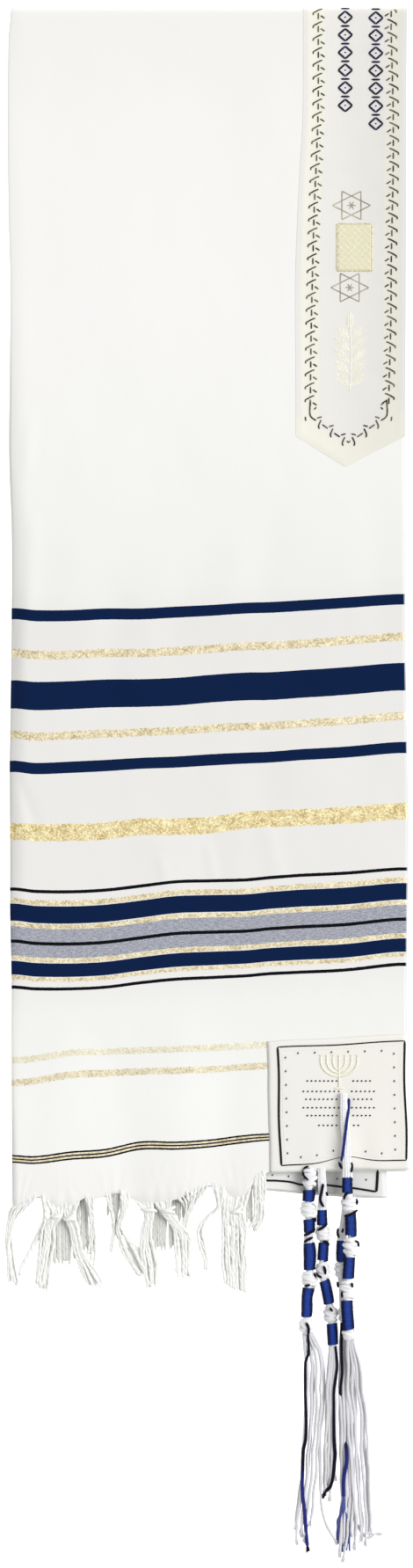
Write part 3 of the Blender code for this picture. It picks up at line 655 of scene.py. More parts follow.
def buildCloth():
    width, foldY = cloth["width"], cloth["foldY"]
    edgeColumns = int(cloth["edgeWide"] / cloth["edgeStep"])
    wideColumns = round((width - cloth["edgeWide"]) / cloth["acrossStep"])
    outs = evenly(width, cloth["edgeWide"], wideColumns)[:-1]
    outs += [cloth["edgeWide"] - cloth["edgeStep"] * i for i in range(edgeColumns)]
    hiddenShares = evenly(0, 1, cloth["hiddenColumns"])[1:]
    hiddenOuts = [width * share ** cloth["hiddenSpread"] for share in hiddenShares]
    sideSteps = cloth["sideSteps"]
    upper = evenly(foldY, cloth["lowerFrom"], cloth["upperRows"])[:-1]
    lower = evenly(cloth["lowerFrom"], cloth["hemMiddleY"], cloth["lowerRows"])
    backRows = evenly(foldY, cloth["hemMiddleY"], cloth["backRows"])

    def acrossRow(front, middleY):
        # from the neck selvedge to the lengthwise fold, round it and back along the inner layer
        row = [layerPoint(True, front, out, middleY) for out in outs]
        edge, inner = layerPoint(True, front, 0.0, middleY), layerPoint(False, front, 0.0, middleY)
        radius, middleZ = abs(edge[2] - inner[2]) / 2, (edge[2] + inner[2]) / 2
        left = edge[0] if front else inner[0]
        for angle in evenly(0, math.pi, sideSteps):
            z = middleZ + (radius if front else -radius) * math.cos(angle)
            row.append((left + radius * (1 - math.sin(angle)), edge[1], z))
        row += [layerPoint(False, front, out, middleY) for out in hiddenOuts]
        return row

    front = [acrossRow(True, y) for y in upper + lower]
    back = [acrossRow(False, y) for y in backRows]
    flatAcross = [-out for out in outs] + evenly(-cloth["sideFlat"], cloth["sideFlat"], sideSteps)
    flatAcross += hiddenOuts
    visible = len(outs) + sideSteps // 2

    # below the hem line the cloth is drawn down towards the fringe's knots
    rows, flatDown = [], []
    hemRow = front[-1]
    for step in range(cloth["scallopRows"], 0, -1):
        share = step / cloth["scallopRows"]
        row = []
        for column, (x, y, z) in enumerate(hemRow):
            drop = scallop(x) * share if column < visible else cloth["hiddenHem"] * share
            row.append((x, y - drop, z - cloth["hemDrape"] * drop * share))
        rows.append(row)
        flatDown.append(cloth["crest"] - cloth["hemMiddleY"] + cloth["hiddenHem"] * share)
    rows += reversed(front)
    flatDown += [cloth["crest"] - y for y in reversed(upper + lower)]
    for step in range(1, cloth["rollSteps"]):
        angle = math.pi / 2 - math.pi * step / cloth["rollSteps"]
        row = []
        for high, low in zip(front[0], back[0]):
            radius = (high[2] - low[2]) / 2
            row.append((mix(high[0], low[0], step / cloth["rollSteps"]), foldY + radius * math.cos(angle),
                        (high[2] + low[2]) / 2 + radius * math.sin(angle)))
        rows.append(row)
        flatDown.append((cloth["crest"] - foldY) * angle * 2 / math.pi)
    rows += back
    flatDown += [y - cloth["crest"] for y in backRows]
    flatRows = [[(a * mm, down * mm) for a in flatAcross] for down in flatDown]
    piece = addSheet("shawlCloth", rows, flatRows, cloth["thickness"], finishes["cloth"])
    return onBody(piece, "striped_cloth", "shawl_front_layer", "shawl_hidden_layers")


def scallop(x):
    return readRow(scallopX, scallopDrop, x)


# sRGB tones: a thread's in shadow and in light, or a satin's at its left and right
tones = {
    # the neckband's satin, drawn darker towards its right side: painted shade
    "satin": ("DFDDD8", "D1CFCB"),
    "patchSatin": ("DCDBD6", "DFDDD6"),
    # The second patch's satin: drawn darker to its right, and darker still between the tassels in the tone
    # below: painted shade and painted shadow
    "secondSatin": ("E4E4E2", "D3D3D1"),
    "secondShadowTone": ("AAAAA8",),
    "olive": ("211F12", "6C694F"),
    "greyGold": ("8C8672", "B9B49D"),
    "navy": ("0C0A20", "221F45"),
    "black": ("050508", "101014"),
    "gold": ("BFB48A", "E9E3C2"),
    "paleGold": ("DDDAC4", "EBE8D6"),
    "panelGold": ("BEB895", "D4CFB2"),
    "leafGold": ("E1DFCB", "ECEADB"),
    "fringe": ("EFEFEB", "FCFCF9"),
    # the same yarn as the fringe, drawn greyer for the rows behind: painted shade
    "fringeShaded": ("D7D7D2", "E6E6E2"),
    # The tassel's strands and knots are one white cord, drawn greyer on the strands and paler on the knots:
    # painted shade and painted light
    "tassel": ("D0D0D4", "ECECEF"),
    "knot": ("EDEDEF", "FDFDFE"),
    "winding": ("000434", "2A4EB0"),
    "deepBlue": ("06061F", "242C78"),
    "frayedBlue": ("262C70", "6A70B4"),
}


satin = {
    "cloud": 22.2,  # mm across its drifts of tone
    "fleck": 1.43,  # mm across a fleck of the cream
    "float": 1.67,  # mm along a float of the warp
    "rib": 0.8,  # mm between ribs, drawn coarser than the real quarter so that they show
    "cream": (1.04, 1.045, 0.955, 1.0),  # multiplies the satin's own colour
    "tipCream": (21, 16),  # mm from the point's edge where the cream starts, and where it is full
    "tipSlope": 0.58,
}


def satinFinish(name, left, right, creamStripes=(), paintedShadow=None):
    # Polyester satin: smooth warp-faced cloth whose floats give a soft sheen along its length
    finish, node, shader = startFinish(name)
    flat = node("UVMap", flatCut, {})
    parts = node("SeparateXYZ", {}, [flat])
    u, v = parts.outputs["X"], parts.outputs["Y"]

    def offFrom(place):
        return node("Math", absolute, [node("Math", subtract, [u, place * mm])])

    cloudy = node("TexNoise", {}, {"Vector": flat, "Scale": patternScale(satin["cloud"]), "Detail": 2.0})
    cloudy = node("Math", multiplyAdd, [cloudy, 0.4, -0.2])
    across = node("Math", clamped, [u, 1 / (neckband["width"] * mm), cloudy])
    colour = node("Mix", colours, {0: across, 6: linear(left), 7: linear(right)})
    if paintedShadow:
        # a painted shadow of the tassels: greyed across part of its width
        middle, shadowEnd, shadowDarkest, tone = paintedShadow
        off = offFrom(middle)
        shadowShare = node("MapRange", softEdge, {"Value": off, "From Min": shadowEnd * mm, "From Max": shadowDarkest * mm})
        colour = node("Mix", colours, {0: shadowShare, 6: colour, 7: linear(tone)})
    if creamStripes:
        # cream where the border is woven in: up both sides and round the point
        flecks = node("TexNoise", {}, {"Vector": flat, "Scale": patternScale(satin["fleck"]), "Detail": 1.0})
        cream = 0.0
        for start, end in creamStripes:
            off, half = offFrom((start + end) / 2), (end - start) / 2 * mm
            stripe = node("MapRange", softEdge, {"Value": off, "From Min": half + mm, "From Max": half - mm})
            cream = node("Math", largest, [cream, stripe])
        off = offFrom(neckband["width"] * neckband["tipShare"])
        reach = node("Math", multiplyAdd, [off, satin["tipSlope"], node("Math", absolute, [v])])
        tipAt = (cloth["crest"] - neckband["tipY"]) * mm
        start, full = (tipAt - above * mm for above in satin["tipCream"])
        stripe = node("MapRange", softEdge, {"Value": reach, "From Min": start, "From Max": full})
        cream = node("Math", largest, [cream, stripe])
        cream = node("Math", multiply, [cream, node("Math", multiplyAdd, [flecks, 1.2, 0.2])])
        colour = node("Mix", {"data_type": "RGBA", "blend_type": "MULTIPLY"},
                      {0: cream, 6: colour, 7: satin["cream"]})
    ribs = node("Math", sine, [node("Math", multiply, [u, math.tau * patternScale(satin["rib"])])])
    broken = node("TexNoise", {}, {"Vector": flat, "Scale": patternScale(satin["float"])})
    height = node("Math", multiplyAdd, [ribs, 0.4, broken])
    bump = node("Bump", {}, {"Height": height, "Distance": 0.05 * mm, "Strength": 0.5})
    setInputs(shader, {"Base Color": colour, "Normal": bump, "Roughness": 0.5, "Anisotropic": 0.4,
                       "Sheen Weight": 0.03, "Specular IOR Level": 0.2})
    return finish


fibre = {
    "stitch": 0.667,  # mm between stitches
    "fuzz": 1.11,  # mm between tufts of loose fibres
    "plies": 2,
}


def threadFinish(name, dark, light, drift, roughness, metallic=0.0):
    # Embroidery thread: smooth rayon or lurex laid in stitches, its tone drifting along the work
    finish, node, shader = startFinish(name)
    place = node("TexCoord", {}, {}).outputs["Object"]
    tone = node("TexNoise", {}, {"Vector": place, "Scale": patternScale(drift), "Detail": 3.0})
    share = node("Math", clamped, [tone, 3.8, -1.45])
    colour = node("Mix", colours, {0: share, 6: linear(dark), 7: linear(light)})
    stitches = node("TexNoise", {}, {"Vector": place, "Scale": patternScale(fibre["stitch"])})
    bump = node("Bump", {}, {"Height": stitches, "Distance": 0.15 * mm, "Strength": 0.6})
    setInputs(shader, {"Base Color": colour, "Normal": bump, "Roughness": roughness, "Metallic": metallic,
                       "Specular IOR Level": 0.2})
    return finish


def yarnFinish(name, dark, light, turns, roughness, faded=False):
    # Plied yarn: two plies twisted together, so that light breaks into slanting ridges, with painted shade in
    # the grooves between them;
    # a yarn marked faded is paler where its mark is high: a fade along the blue strands, painted light on the
    # tops of the windings
    finish, node, shader = startFinish(name)
    around = node("UVMap", {"uv_map": "UVMap"}, {})
    parts = node("SeparateXYZ", {}, [around])
    slant = node("Math", multiply, [parts.outputs["Y"], turns * math.tau])
    slant = node("Math", multiplyAdd, [parts.outputs["X"], fibre["plies"] * math.tau, slant])
    ridge = node("Math", sine, [slant])
    place = node("TexCoord", {}, {}).outputs["Object"]
    fuzz = node("TexNoise", {}, {"Vector": place, "Scale": patternScale(fibre["fuzz"]), "Detail": 3.0})
    shade = node("Math", clamped, [ridge, 0.3, fuzz])
    if faded:
        fadeAndLight = node("Attribute", {"attribute_name": "faded"}, {}).outputs["Fac"]
        fadeAndLight = node("Math", multiplyAdd, [fuzz, 0.3, fadeAndLight])
        shade = node("MapRange", softEdge, {"Value": fadeAndLight, "From Min": 0.8, "From Max": 1.22})
    colour = node("Mix", colours, {0: shade, 6: linear(dark), 7: linear(light)})
    height = node("Math", add, [ridge, fuzz])
    bump = node("Bump", {}, {"Height": height, "Distance": 0.2 * mm, "Strength": 0.5})
    setInputs(shader, {"Base Color": colour, "Normal": bump, "Roughness": roughness,
                       "Sheen Weight": 0.03, "Specular IOR Level": 0.12})
    return finish


creamStripes = ((4.2, 17.2), (65.4, 77.0))  # mm across the neckband
paintedShadowAcross = (52, 26, 8, *tones["secondShadowTone"])  # middle of the painted shadow, where it ends, where it is darkest
# a thread finish has the mm across its drifts of tone, a yarn finish its turns along the whole yarn
finishes = {
    "cloth": wovenClothFinish(),
    "bandSatin": satinFinish("polyesterSatinBand", *tones["satin"], creamStripes),
    "patchSatin": satinFinish("polyesterSatinPatch", *tones["patchSatin"]),
    "secondSatin": satinFinish("polyesterSatinPaintedShade", *tones["secondSatin"], (), paintedShadowAcross),
    "olive": threadFinish("rayonThreadOlive", *tones["olive"], 6.25, 0.6),
    "greyGold": threadFinish("rayonThreadGreyGold", *tones["greyGold"], 11.1, 0.5),
    "navy": threadFinish("rayonThreadNavy", *tones["navy"], 11.1, 0.5),
    "black": threadFinish("rayonThreadBlack", *tones["black"], 11.1, 0.8),
    "gold": threadFinish("lurexThreadGold", *tones["gold"], 1.25, 0.4, 0.3),
    "panelGold": satinFinish("lurexBrocadePanel", *tones["panelGold"]),
    "paleGold": threadFinish("lurexThreadPaleGold", *tones["paleGold"], 2.0, 0.5, 0.15),
    "leafGold": threadFinish("rayonThreadStraw", *tones["leafGold"], 8.33, 0.5),
    "fringeShaded": yarnFinish("plyAcrylicYarnShaded", *tones["fringeShaded"], 26.0, 0.9),
    "fringe": yarnFinish("plyAcrylicYarn", *tones["fringe"], 26.0, 0.9),
    "tassel": yarnFinish("plyCottonCordWhite", *tones["tassel"], 60.0, 0.85),
    "knot": yarnFinish("plyCottonKnotWhitePaintedLight", *tones["knot"], 60.0, 0.85),
    "winding": yarnFinish("plyCottonCordBlue", *tones["winding"], 40.0, 0.7, True),
    "deepBlue": yarnFinish("plyCottonCordDeepBlue", *tones["deepBlue"], 60.0, 0.7, True),
    "frayedBlue": yarnFinish("cottonPliesFadedBlue", *tones["frayedBlue"], 60.0, 0.9),
}
print("finishes ready")

shawl = buildCloth()
print("cloth folded:", len(shawl.data.polygons), "faces")


def bandTop(x, y):
    top = clothTop(x, y) + neckband["height"]
    over = y - cloth["foldY"]
    if over <= 0:
        return top
    radius = top - cloth["middle"]
    return cloth["middle"] + math.sqrt(max(radius * radius - over * over, 0.0))


def buildNeckband():
    # a pointed satin band from its front tip over the top fold to its hidden tip
    width, columns = neckband["width"], neckband["columns"]
    frontRows, backRows = neckband["frontRows"], neckband["backRows"]
    foldY, half, rollSteps = cloth["foldY"], neckband["thickness"] / 2, cloth["rollSteps"] + 2
    rim = neckband["rim"] / width
    shares = [0.0, rim, *(i / columns for i in range(1, columns)), 1 - rim, 1.0]
    upShares = [0.0, rim / 4, *(i / frontRows for i in range(1, frontRows + 1))]
    rows, flatDown = [], []

    def place(share, y):
        return mix(bandLeft(y), rightEdge(y) + 0.3, share), y

    for upShare in upShares:
        row = []
        for share in shares:
            x, y = place(share, mix(bandEnd(share), foldY, upShare))
            edge = min(share * width, (1 - share) * width, 0.86 * (y - bandEnd(share)))
            hemRidge = 0.12 * hump(edge, 3.5, 2.2) - 0.24 * hump(edge, 0, 2.6)
            row.append((x, y, bandTop(x, y) - half + hemRidge))
        rows.append(row)
        flatDown.append([cloth["crest"] - y for x, y, z in row])
    top = rows[-1]
    for step in range(1, rollSteps):
        angle = math.pi / 2 - math.pi * step / rollSteps
        row = []
        for x, y, z in top:
            radius = (z - half) / 2
            row.append((x, foldY + radius * math.cos(angle), half + radius + radius * math.sin(angle)))
        rows.append(row)
        flatDown.append([angle * neckband["roll"]] * len(shares))
    for step in range(backRows + 1):
        row = [(*place(share, mix(foldY, bandEnd(share), step / backRows)), half) for share in shares]
        rows.append(row)
        flatDown.append([y - cloth["crest"] for x, y, z in row])
    flatRows = [[(share * width * mm, down * mm) for share, down in zip(shares, downs)] for downs in flatDown]
    rows.reverse()
    flatRows.reverse()
    piece = addSheet("neckbandSatin", rows, flatRows, neckband["thickness"], finishes["bandSatin"])
    return onBody(piece, "satin_trim", "neckband")


# A vine border up each side of the neckband: one sprig, mirrored and repeated along the stem
sprig = {
    "leaf": ((2.9, 0.1), (0.6, -0.7), (-2.3, -2.3), (-3.9, -3.3), (-3.8, -4.8)),
    "stem": ((0.0, -3.3), (0.0, -7.9)),
    "twig": ((1.9, -5.3), (4.8, -7.2)),
    "pitch": 9.87,
    "lowest": {"left": 156.8, "right": 158.5},
    "stemY": (160, 221, 261, 301, 322, 342, 382, 443),
    "left": (77.9, 78.7, 79.7, 80.7, 81.6, 82.6, 83.9, 84.0),
    "right": (138.0, 139.6, 139.8, 140.6, 141.1, 141.4, 141.3, 139.8),
    "radius": 0.56,
}

# Where the border turns in to the point, as half of it: runs of one short, one hooked and one slanting stitch
borderTip = {
    "middleX": 107.1,
    "turn": ((-29.2, 153.8), (-29.4, 142.1), (-24.9, 137.9)),
    "twigs": (((-27.1, 151.4), (-24.9, 149.9)), ((-24.7, 147.9), (-26.4, 146.4)),
              ((-33.1, 140.7), (-32.7, 137.6))),
    "first": (-23.9, 139.7),
    "step": (9.1, -6.5),
    "run": (((0.0, 0.0), (3.4, 1.0)), ((2.9, -1.5), (1.0, -5.9), (1.6, -8.1)), ((3.9, -5.0), (8.1, -7.9))),
    "runs": 3,
    "point": ((-1.3, 122.2), (0.3, 120.9)),
}


def stitchOnto(surface, strokes, radius, lift=0.0, spacing=0.9, tip=0.6):
    # threads laid on a surface along flat strokes
    threads = []
    for stroke in strokes:
        path = smoothPath([(x, y, 0.0) for x, y in stroke], spacing)
        path = [(p.x, p.y, surface(p.x, p.y) + lift) for p in path]
        threads.append({"path": path, "radius": tapered(len(path), radius, tip, 2)})
    return threads


def embroider(name, threads, finish):
    return onBody(addThreads(name, threads, finishes[finish]), "satin_trim")


def buildBandBorder():
    strokes = []
    for side, mirror in (("left", 1), ("right", -1)):
        y = sprig["lowest"][side]
        while y < cloth["foldY"] + 9:
            stemX = readRow(sprig["stemY"], sprig[side], y)
            for part in ("leaf", "stem", "twig"):
                stroke = [(stemX + mirror * over, y + up) for over, up in sprig[part]]
                stroke = [place for place in stroke if place[1] < cloth["foldY"] + 3.6]
                if len(stroke) > 1:
                    strokes.append(stroke)
            y += sprig["pitch"]
        middleX = borderTip["middleX"]
        half = [borderTip["turn"], *borderTip["twigs"]]
        for number in range(borderTip["runs"]):
            startX, startY = (borderTip["first"][i] + number * borderTip["step"][i] for i in (0, 1))
            half += [[(startX + over, startY + up) for over, up in part] for part in borderTip["run"]]
        half[-1] = borderTip["point"]
        strokes += [[(middleX + mirror * over, y) for over, y in stroke] for stroke in half]
    threads = stitchOnto(bandTop, strokes, sprig["radius"], 0.1, 0.8, 0.85)
    return embroider("neckbandVineBorder", threads, "olive")


emblem = {
    "stars": ((109.4, 302.5, 14.6), (108.1, 239.6, 14.6)),
    "squash": 0.86,
    "hub": 3.2,
    "line": 0.40,
    "panel": ((98.3, 288.4), (125.1, 252.3)),  # top left and lower right corners
    "panelSteps": (14, 18),
    "panelThickness": 0.4,
    "lattice": 5.2,
}


def starStrokes(x, y, radius):
    # two triangles with their points to the left and right, and a small six-rayed knot inside
    strokes = []
    for turn in (0, 180):
        angles = [math.radians(turn + a) for a in (0, 120, 240)]
        corners = [(x + radius * math.cos(a), y + emblem["squash"] * radius * math.sin(a)) for a in angles]
        strokes += [[start, end] for start, end in zip(corners, corners[1:] + corners[:1])]
    for angle in (0, 60, 120):
        angle = math.radians(angle)
        dx, dy = emblem["hub"] * math.cos(angle), emblem["hub"] * math.sin(angle)
        strokes.append([(x - dx, y - dy), (x + dx, y + dy)])
    return strokes


def buildEmblem():
    lines = [stroke for star in emblem["stars"] for stroke in starStrokes(*star)]
    lines = stitchOnto(bandTop, lines, emblem["line"], 0.05)
    stars = embroider("neckbandStars", lines, "greyGold")
    (left, top), (right, low) = emblem["panel"]
    across, up = emblem["panelSteps"]
    xs, ys = evenly(left, right, across), evenly(low, top, up)[::-1]
    rows = [[(x, y, bandTop(x, y) + 0.05) for x in xs] for y in ys]
    flatRows = [[(x * mm, y * mm) for x in xs] for y in ys]
    panel = addSheet("neckbandGoldPanel", rows, flatRows, emblem["panelThickness"], finishes["panelGold"])
    onBody(panel, "satin_trim")
    lattice = []
    step = emblem["lattice"]
    for number in range(1, int((top - low + right - left) / step) + 1):
        reach = number * step
        x0, y0 = (left, low + reach) if low + reach <= top else (left + low + reach - top, top)
        x1, y1 = (left + reach, low) if left + reach <= right else (right, low + left + reach - right)
        lattice += [[(x0, y0), (x1, y1)], [(x0, top + low - y0), (x1, top + low - y1)]]
    corners = [(left, low), (right, low), (right, top), (left, top), (left, low)]
    rim = [[start, end] for start, end in zip(corners, corners[1:])]
    lattice = stitchOnto(bandTop, lattice, 0.3, 0.15)
    diamonds = embroider("neckbandPanelLattice", lattice, "paleGold")
    edge = embroider("neckbandPanelRim", stitchOnto(bandTop, rim, 0.45, 0.2), "gold")
    return [stars, panel, diamonds, edge]


spray = {
    "x": 108.0,
    "low": 160.0,
    "high": 220.0,
    "leaves": 5,
    "leafLong": 15.5,
    "leafWide": 6.4,
    "stitch": 1.15,
}


def leafStitches(x, y, long, wide, angle):
    # satin stitch: slanting threads from the midrib out to both edges
    cos, sin = math.cos(angle), math.sin(angle)
    strokes = [[(x, y), (x + long * cos, y + long * sin)]]
    count = int(long / spray["stitch"])
    for number in range(1, count):
        along = long * number / count
        half = wide / 2 * math.sin(math.pi * (number / count) ** 0.8)
        for side in (-1, 1):
            ends = ((along, 0.3 * side), (min(along + 0.8 * half, long), side * half))
            strokes.append([(x + a * cos - b * sin, y + a * sin + b * cos) for a, b in ends])
    return strokes


def buildSpray():
    # a leaf spray in straw-coloured rayon
    x, low, high = spray["x"], spray["low"], spray["high"]
    strokes = [[(x, low), (x + 1.0, mix(low, high, 0.5)), (x, high - 10)]]
    for number in range(spray["leaves"]):
        y = mix(low + 4, high - 20, number / (spray["leaves"] - 1))
        long = spray["leafLong"] * mix(0.8, 1.1, math.sin(math.pi * (number + 0.6) / spray["leaves"]))
        for angle in (42, 138):
            strokes += leafStitches(x, y, long, spray["leafWide"], math.radians(angle))
    strokes += leafStitches(x, high - 14, spray["leafLong"], spray["leafWide"], math.radians(90))
    return embroider("neckbandLeafSpray", stitchOnto(bandTop, strokes, 0.5, -0.22), "leafGold")


columns = {
    "rows": ((104.6, 376.0), (128.0, 362.0)),  # each column's x and its lowest y
    "pitch": 13.5,
    "lozenge": (5.4, 4.7),
}


def buildColumns():
    # two upright rows of plain lozenges and bars, up to the top fold
    strokes = []
    wide, high = columns["lozenge"]
    for x, low in columns["rows"]:
        y = low + 3
        while y < cloth["foldY"]:
            corners = [(x + wide, y), (x, y + high), (x - wide, y), (x, y - high)]
            strokes += [[start, end] for start, end in zip(corners, corners[1:] + corners[:1])]
            bar = y + columns["pitch"] / 2
            strokes += [[(x - half, at), (x + half, at)] for half, at in ((0.6, y), (3.2, bar))]
            y += columns["pitch"]
    return embroider("neckbandLozengeRows", stitchOnto(bandTop, strokes, 0.8, 0.05), "navy")


band = buildNeckband()
bandWork = [buildBandBorder(), *buildEmblem(), buildSpray(), buildColumns()]
print("neckband sewn on:", len(bandWork), "pieces of embroidery")


patch = {
    "corners": ((44.8, -337.2), (151.6, -331.4), (154.2, -435.4), (47.0, -437.6)),
    "height": 0.8,
    "thickness": 0.6,
    "side": 104,
    "steps": 48,
    "pullX": 106.0,  # the tassel draws the lower hem up here
    "pull": 1.2,
    "pullSpread": 19.0,
    "framePull": 5.2,
    "frame": ((52.7, -341.9), (149.6, -337.0), (151.4, -428.3), (55.2, -432.5)),
    "hole": (103.2, -376.0),
    "menorah": (99.8, -348.6, 28.0, 3),
    # dots inside the frame, from the first to the last of each side
    "dotsAbove": ((68.4, -346.2), (132.4, -344.4)),
    "dotsBelow": ((70.6, -425.9), (132.6, -423.2)),
    "dotsLeft": ((58.8, -349.6), (60.4, -422.8)),
    "dotsRight": ((141.8, -346.6), (142.9, -420)),
    # the height and half-width of each row of dots in the middle, and the gap that they leave for the tassel
    "dotRows": ((-367.5, 24), (-375.5, 27), (-381.5, 25), (-388.0, 27), (-394.0, 24), (-401.5, 15)),
    "dotMiddle": 99.5,
    "dotPitch": 3.2,
    "dotGap": (100.0, 109.0),
}


def patchPlace(across, down):
    # a point of the patch by its share across and down
    x, y = between(patch["corners"], across, down)
    lift = patch["pull"] * hump(x, patch["pullX"], patch["pullSpread"]) * ease((down - 0.55) / 0.45)
    wobble = 0.5 * noise.noise(Vector((x / 24, y / 24, 1.7)))
    return x + wobble, y + lift + wobble


def patchTop(x, y):
    # the patch's face: it lies on the cloth and buckles a little where the tassel pulls
    pucker = 0.5 * hump(x, patch["pullX"], 26) * math.cos((x - patch["pullX"]) / 4.2)
    pucker *= ease((-385 - y) / 45)
    dent = 0.6 * math.exp(-((x - patch["hole"][0]) ** 2 + (y - patch["hole"][1]) ** 2) / 60)
    return clothTop(x, y) + patch["height"] + pucker - dent


def buildPatchSheet(name, place, top, steps, finish, replaced):
    side, thickness = patch["side"], patch["thickness"]
    shares = evenly(0, 1, steps)
    rows = []
    for r, down in enumerate(shares):
        row = []
        for c, across in enumerate(shares):
            x, y = place(across, down)
            edge = min(c, r, steps - c, steps - r) / steps * side
            ridge = 0.18 * hump(edge, 3.0, 1.8) - 0.3 * hump(edge, 0, 1.2)
            row.append((x, y, top(x, y) - thickness / 2 + ridge))
        rows.append(row)
    flatRows = [[(across * side * mm, -down * side * mm) for across in shares] for down in shares]
    return onBody(addSheet(name, rows, flatRows, thickness, finish), "satin_trim", replaced)


def framePlace(across, down):
    # a point inside the patch's embroidered frame, with the same pull at the lower side
    x, y = between(patch["frame"], across, down)
    lift = framePull(x) * ease((down - 0.5) / 0.5)
    wave = 0.6 * math.sin(down * 7.5 + across * 2.2)
    return x + wave * (1 - abs(2 * across - 1) * 0.2), y + lift + 0.35 * math.sin(across * 8 + 1)


def framePull(x):
    return patch["framePull"] * hump(x, 104.5, 17)


def onLine(ends, share):
    return tuple(mix(start, end, share) for start, end in zip(*ends))


def frameStrokes(inset):
    low, high = inset, 1 - inset
    corners = ((low, low), (high, low), (high, high), (low, high), (low, low))
    return [[framePlace(*onLine(ends, share)) for share in evenly(0, 1, 20)]
            for ends in zip(corners, corners[1:])]


def dashes(stroke, pitch, long):
    # cuts one stroke into short stitches
    path = smoothPath([(x, y, 0.0) for x, y in stroke], long / 2)
    cut, travelled = [], 0.0
    for i in range(1, len(path)):
        travelled += (path[i] - path[i - 1]).length
        if travelled >= pitch:
            cut.append([tuple(path[max(i - 2, 0)])[:2], tuple(path[i])[:2]])
            travelled = 0.0
    return cut


def dotThreads(places, surface, radius, lift, half=0.35, rise=0.1, tip=0.6):
    # small satin-stitched dots: short thick threads
    threads = []
    for x, y in places:
        z = surface(x, y) + lift
        threads.append({"path": [(x - half, y, z), (x, y, z + rise), (x + half, y, z)],
                        "radius": [radius * tip, radius, radius * tip]})
    return threads


def menorahStrokes(x, top, width, arms, long=24):
    # the seven-branched lamp: nested arms that meet the stem, cups at one height
    strokes = [[(x, top + 1.0), (x, top - long)]]
    for number in range(1, arms + 1):
        reach, deep = width / 2 * number / arms, 4.0 + 2.6 * number
        for side in (-1, 1):
            stroke = [(x + side * reach, top)]
            for angle in evenly(0, math.pi / 2, 8):
                stroke.append((x + side * reach * math.cos(angle), top - 3.5 - deep * math.sin(angle)))
            strokes.append(stroke)
    for number in range(-arms, arms + 1):
        cup = x + width / 2 * number / arms
        strokes.append([(cup - 1.2, top + 0.6), (cup + 1.2, top + 0.6)])
    strokes.append([(x - 4, top - long - 0.5), (x + 4, top - long - 0.5)])
    return strokes


def buildPatchWork():
    above, right, below, left = frameStrokes(0.0)
    black = stitchOnto(patchTop, [above, below], 0.55, 0.0, 1.2)
    # the lower line thins out where the tassel pulls it
    black[1]["radius"] = [0.55 - 0.3 * hump(p[0], 104, 26) for p in black[1]["path"]]
    black += stitchOnto(patchTop, [right, left], 1.1, -0.4, 1.2)
    gold = [cut for stroke in frameStrokes(0.034) for cut in dashes(stroke, 2.4, 1.2)]
    gold = stitchOnto(patchTop, gold, 0.34, 0.0)
    gold += stitchOnto(patchTop, menorahStrokes(*patch["menorah"]), 0.8, 0.0)
    dots = []
    for i in range(6):
        dots.append(onLine(patch["dotsAbove"], i / 5))
        x, y = onLine(patch["dotsBelow"], i / 5)
        dots.append((x, y + framePull(x)))
    for i in range(8):
        dots += [onLine(patch["dotsLeft"], i / 7), onLine(patch["dotsRight"], i / 7)]
    navy = dotThreads(dots, patchTop, 0.95, 0.05)
    gapLeft, gapRight = patch["dotGap"]
    for y, half in patch["dotRows"]:
        count = int(half * 2 / patch["dotPitch"])
        xs = [patch["dotMiddle"] + off for off in evenly(-half, half, count)]
        places = [(x, y) for x in xs if not gapLeft <= x <= gapRight]
        navy += dotThreads(places, patchTop, 0.75, 0.0, 0.85, 0.15, 0.2)
    return [embroider("frontPatchFrame", black, "black"), embroider("frontPatchGoldWork", gold, "paleGold"),
            embroider("frontPatchDots", navy, "navy")]


second = {
    "steps": 30,
    "corners": ((32.6, -424.4), (134.4, -424.4), (136.3, -457.2), (34.0, -449.8)),
    "topZ": 4.8,
    "lowZ": 4.4,
    "line": ((42.1, -443.2), (44.6, -444.1), (52, -444.3), (60.9, -445.0), (65.3, -445.9), (71, -447.3),
             (80, -447.0), (89.2, -447.5), (101.3, -448.9), (112.7, -450.2), (128.2, -452.7)),
    "side": ((129.6, -431.0), (129.4, -441.0), (128.6, -452.6)),
    "dots": ((48.9, -439.9), (61.2, -440.9), (74, -441.6), (98.6, -442.9), (110, -443.4), (120.8, -443.5)),
}


def secondPlace(across, down):
    return between(second["corners"], across, down)


def secondTop(x, y):
    share = ease((-424 - y) / 34)
    return mix(second["topZ"], second["lowZ"], share) + 0.3 + 0.25 * math.sin(x / 9.0) * share


def buildSecondPatchWork():
    black = stitchOnto(secondTop, [second["line"]], 0.8, 0.1, 1.2)
    black += stitchOnto(secondTop, [second["side"]], 1.1, 0.0, 1.2)
    navy = dotThreads(second["dots"], secondTop, 0.95, 0.05)
    return [embroider("secondPatchFrame", black, "black"), embroider("secondPatchDots", navy, "navy")]


# the patch hidden under the shawl
underside = {"steps": 12, "topZ": 0.9}


def underPlace(across, down):
    low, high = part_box("corner_patch_underside")
    return mix(low.x, high.x, across) / mm, mix(high.y, low.y, down) / mm


frontPatch = buildPatchSheet("frontPatchSatin", patchPlace, patchTop, patch["steps"], finishes["patchSatin"],
                             "corner_patch_front")
frontPatchWork = buildPatchWork()
secondPatch = buildPatchSheet("secondPatchSatin", secondPlace, secondTop, second["steps"],
                              finishes["secondSatin"], "corner_patch_second")
secondPatchWork = buildSecondPatchWork()
underPatch = buildPatchSheet("undersidePatchSatin", underPlace, lambda x, y: underside["topZ"],
                             underside["steps"], finishes["patchSatin"], "corner_patch_underside")
print("patches sewn on")


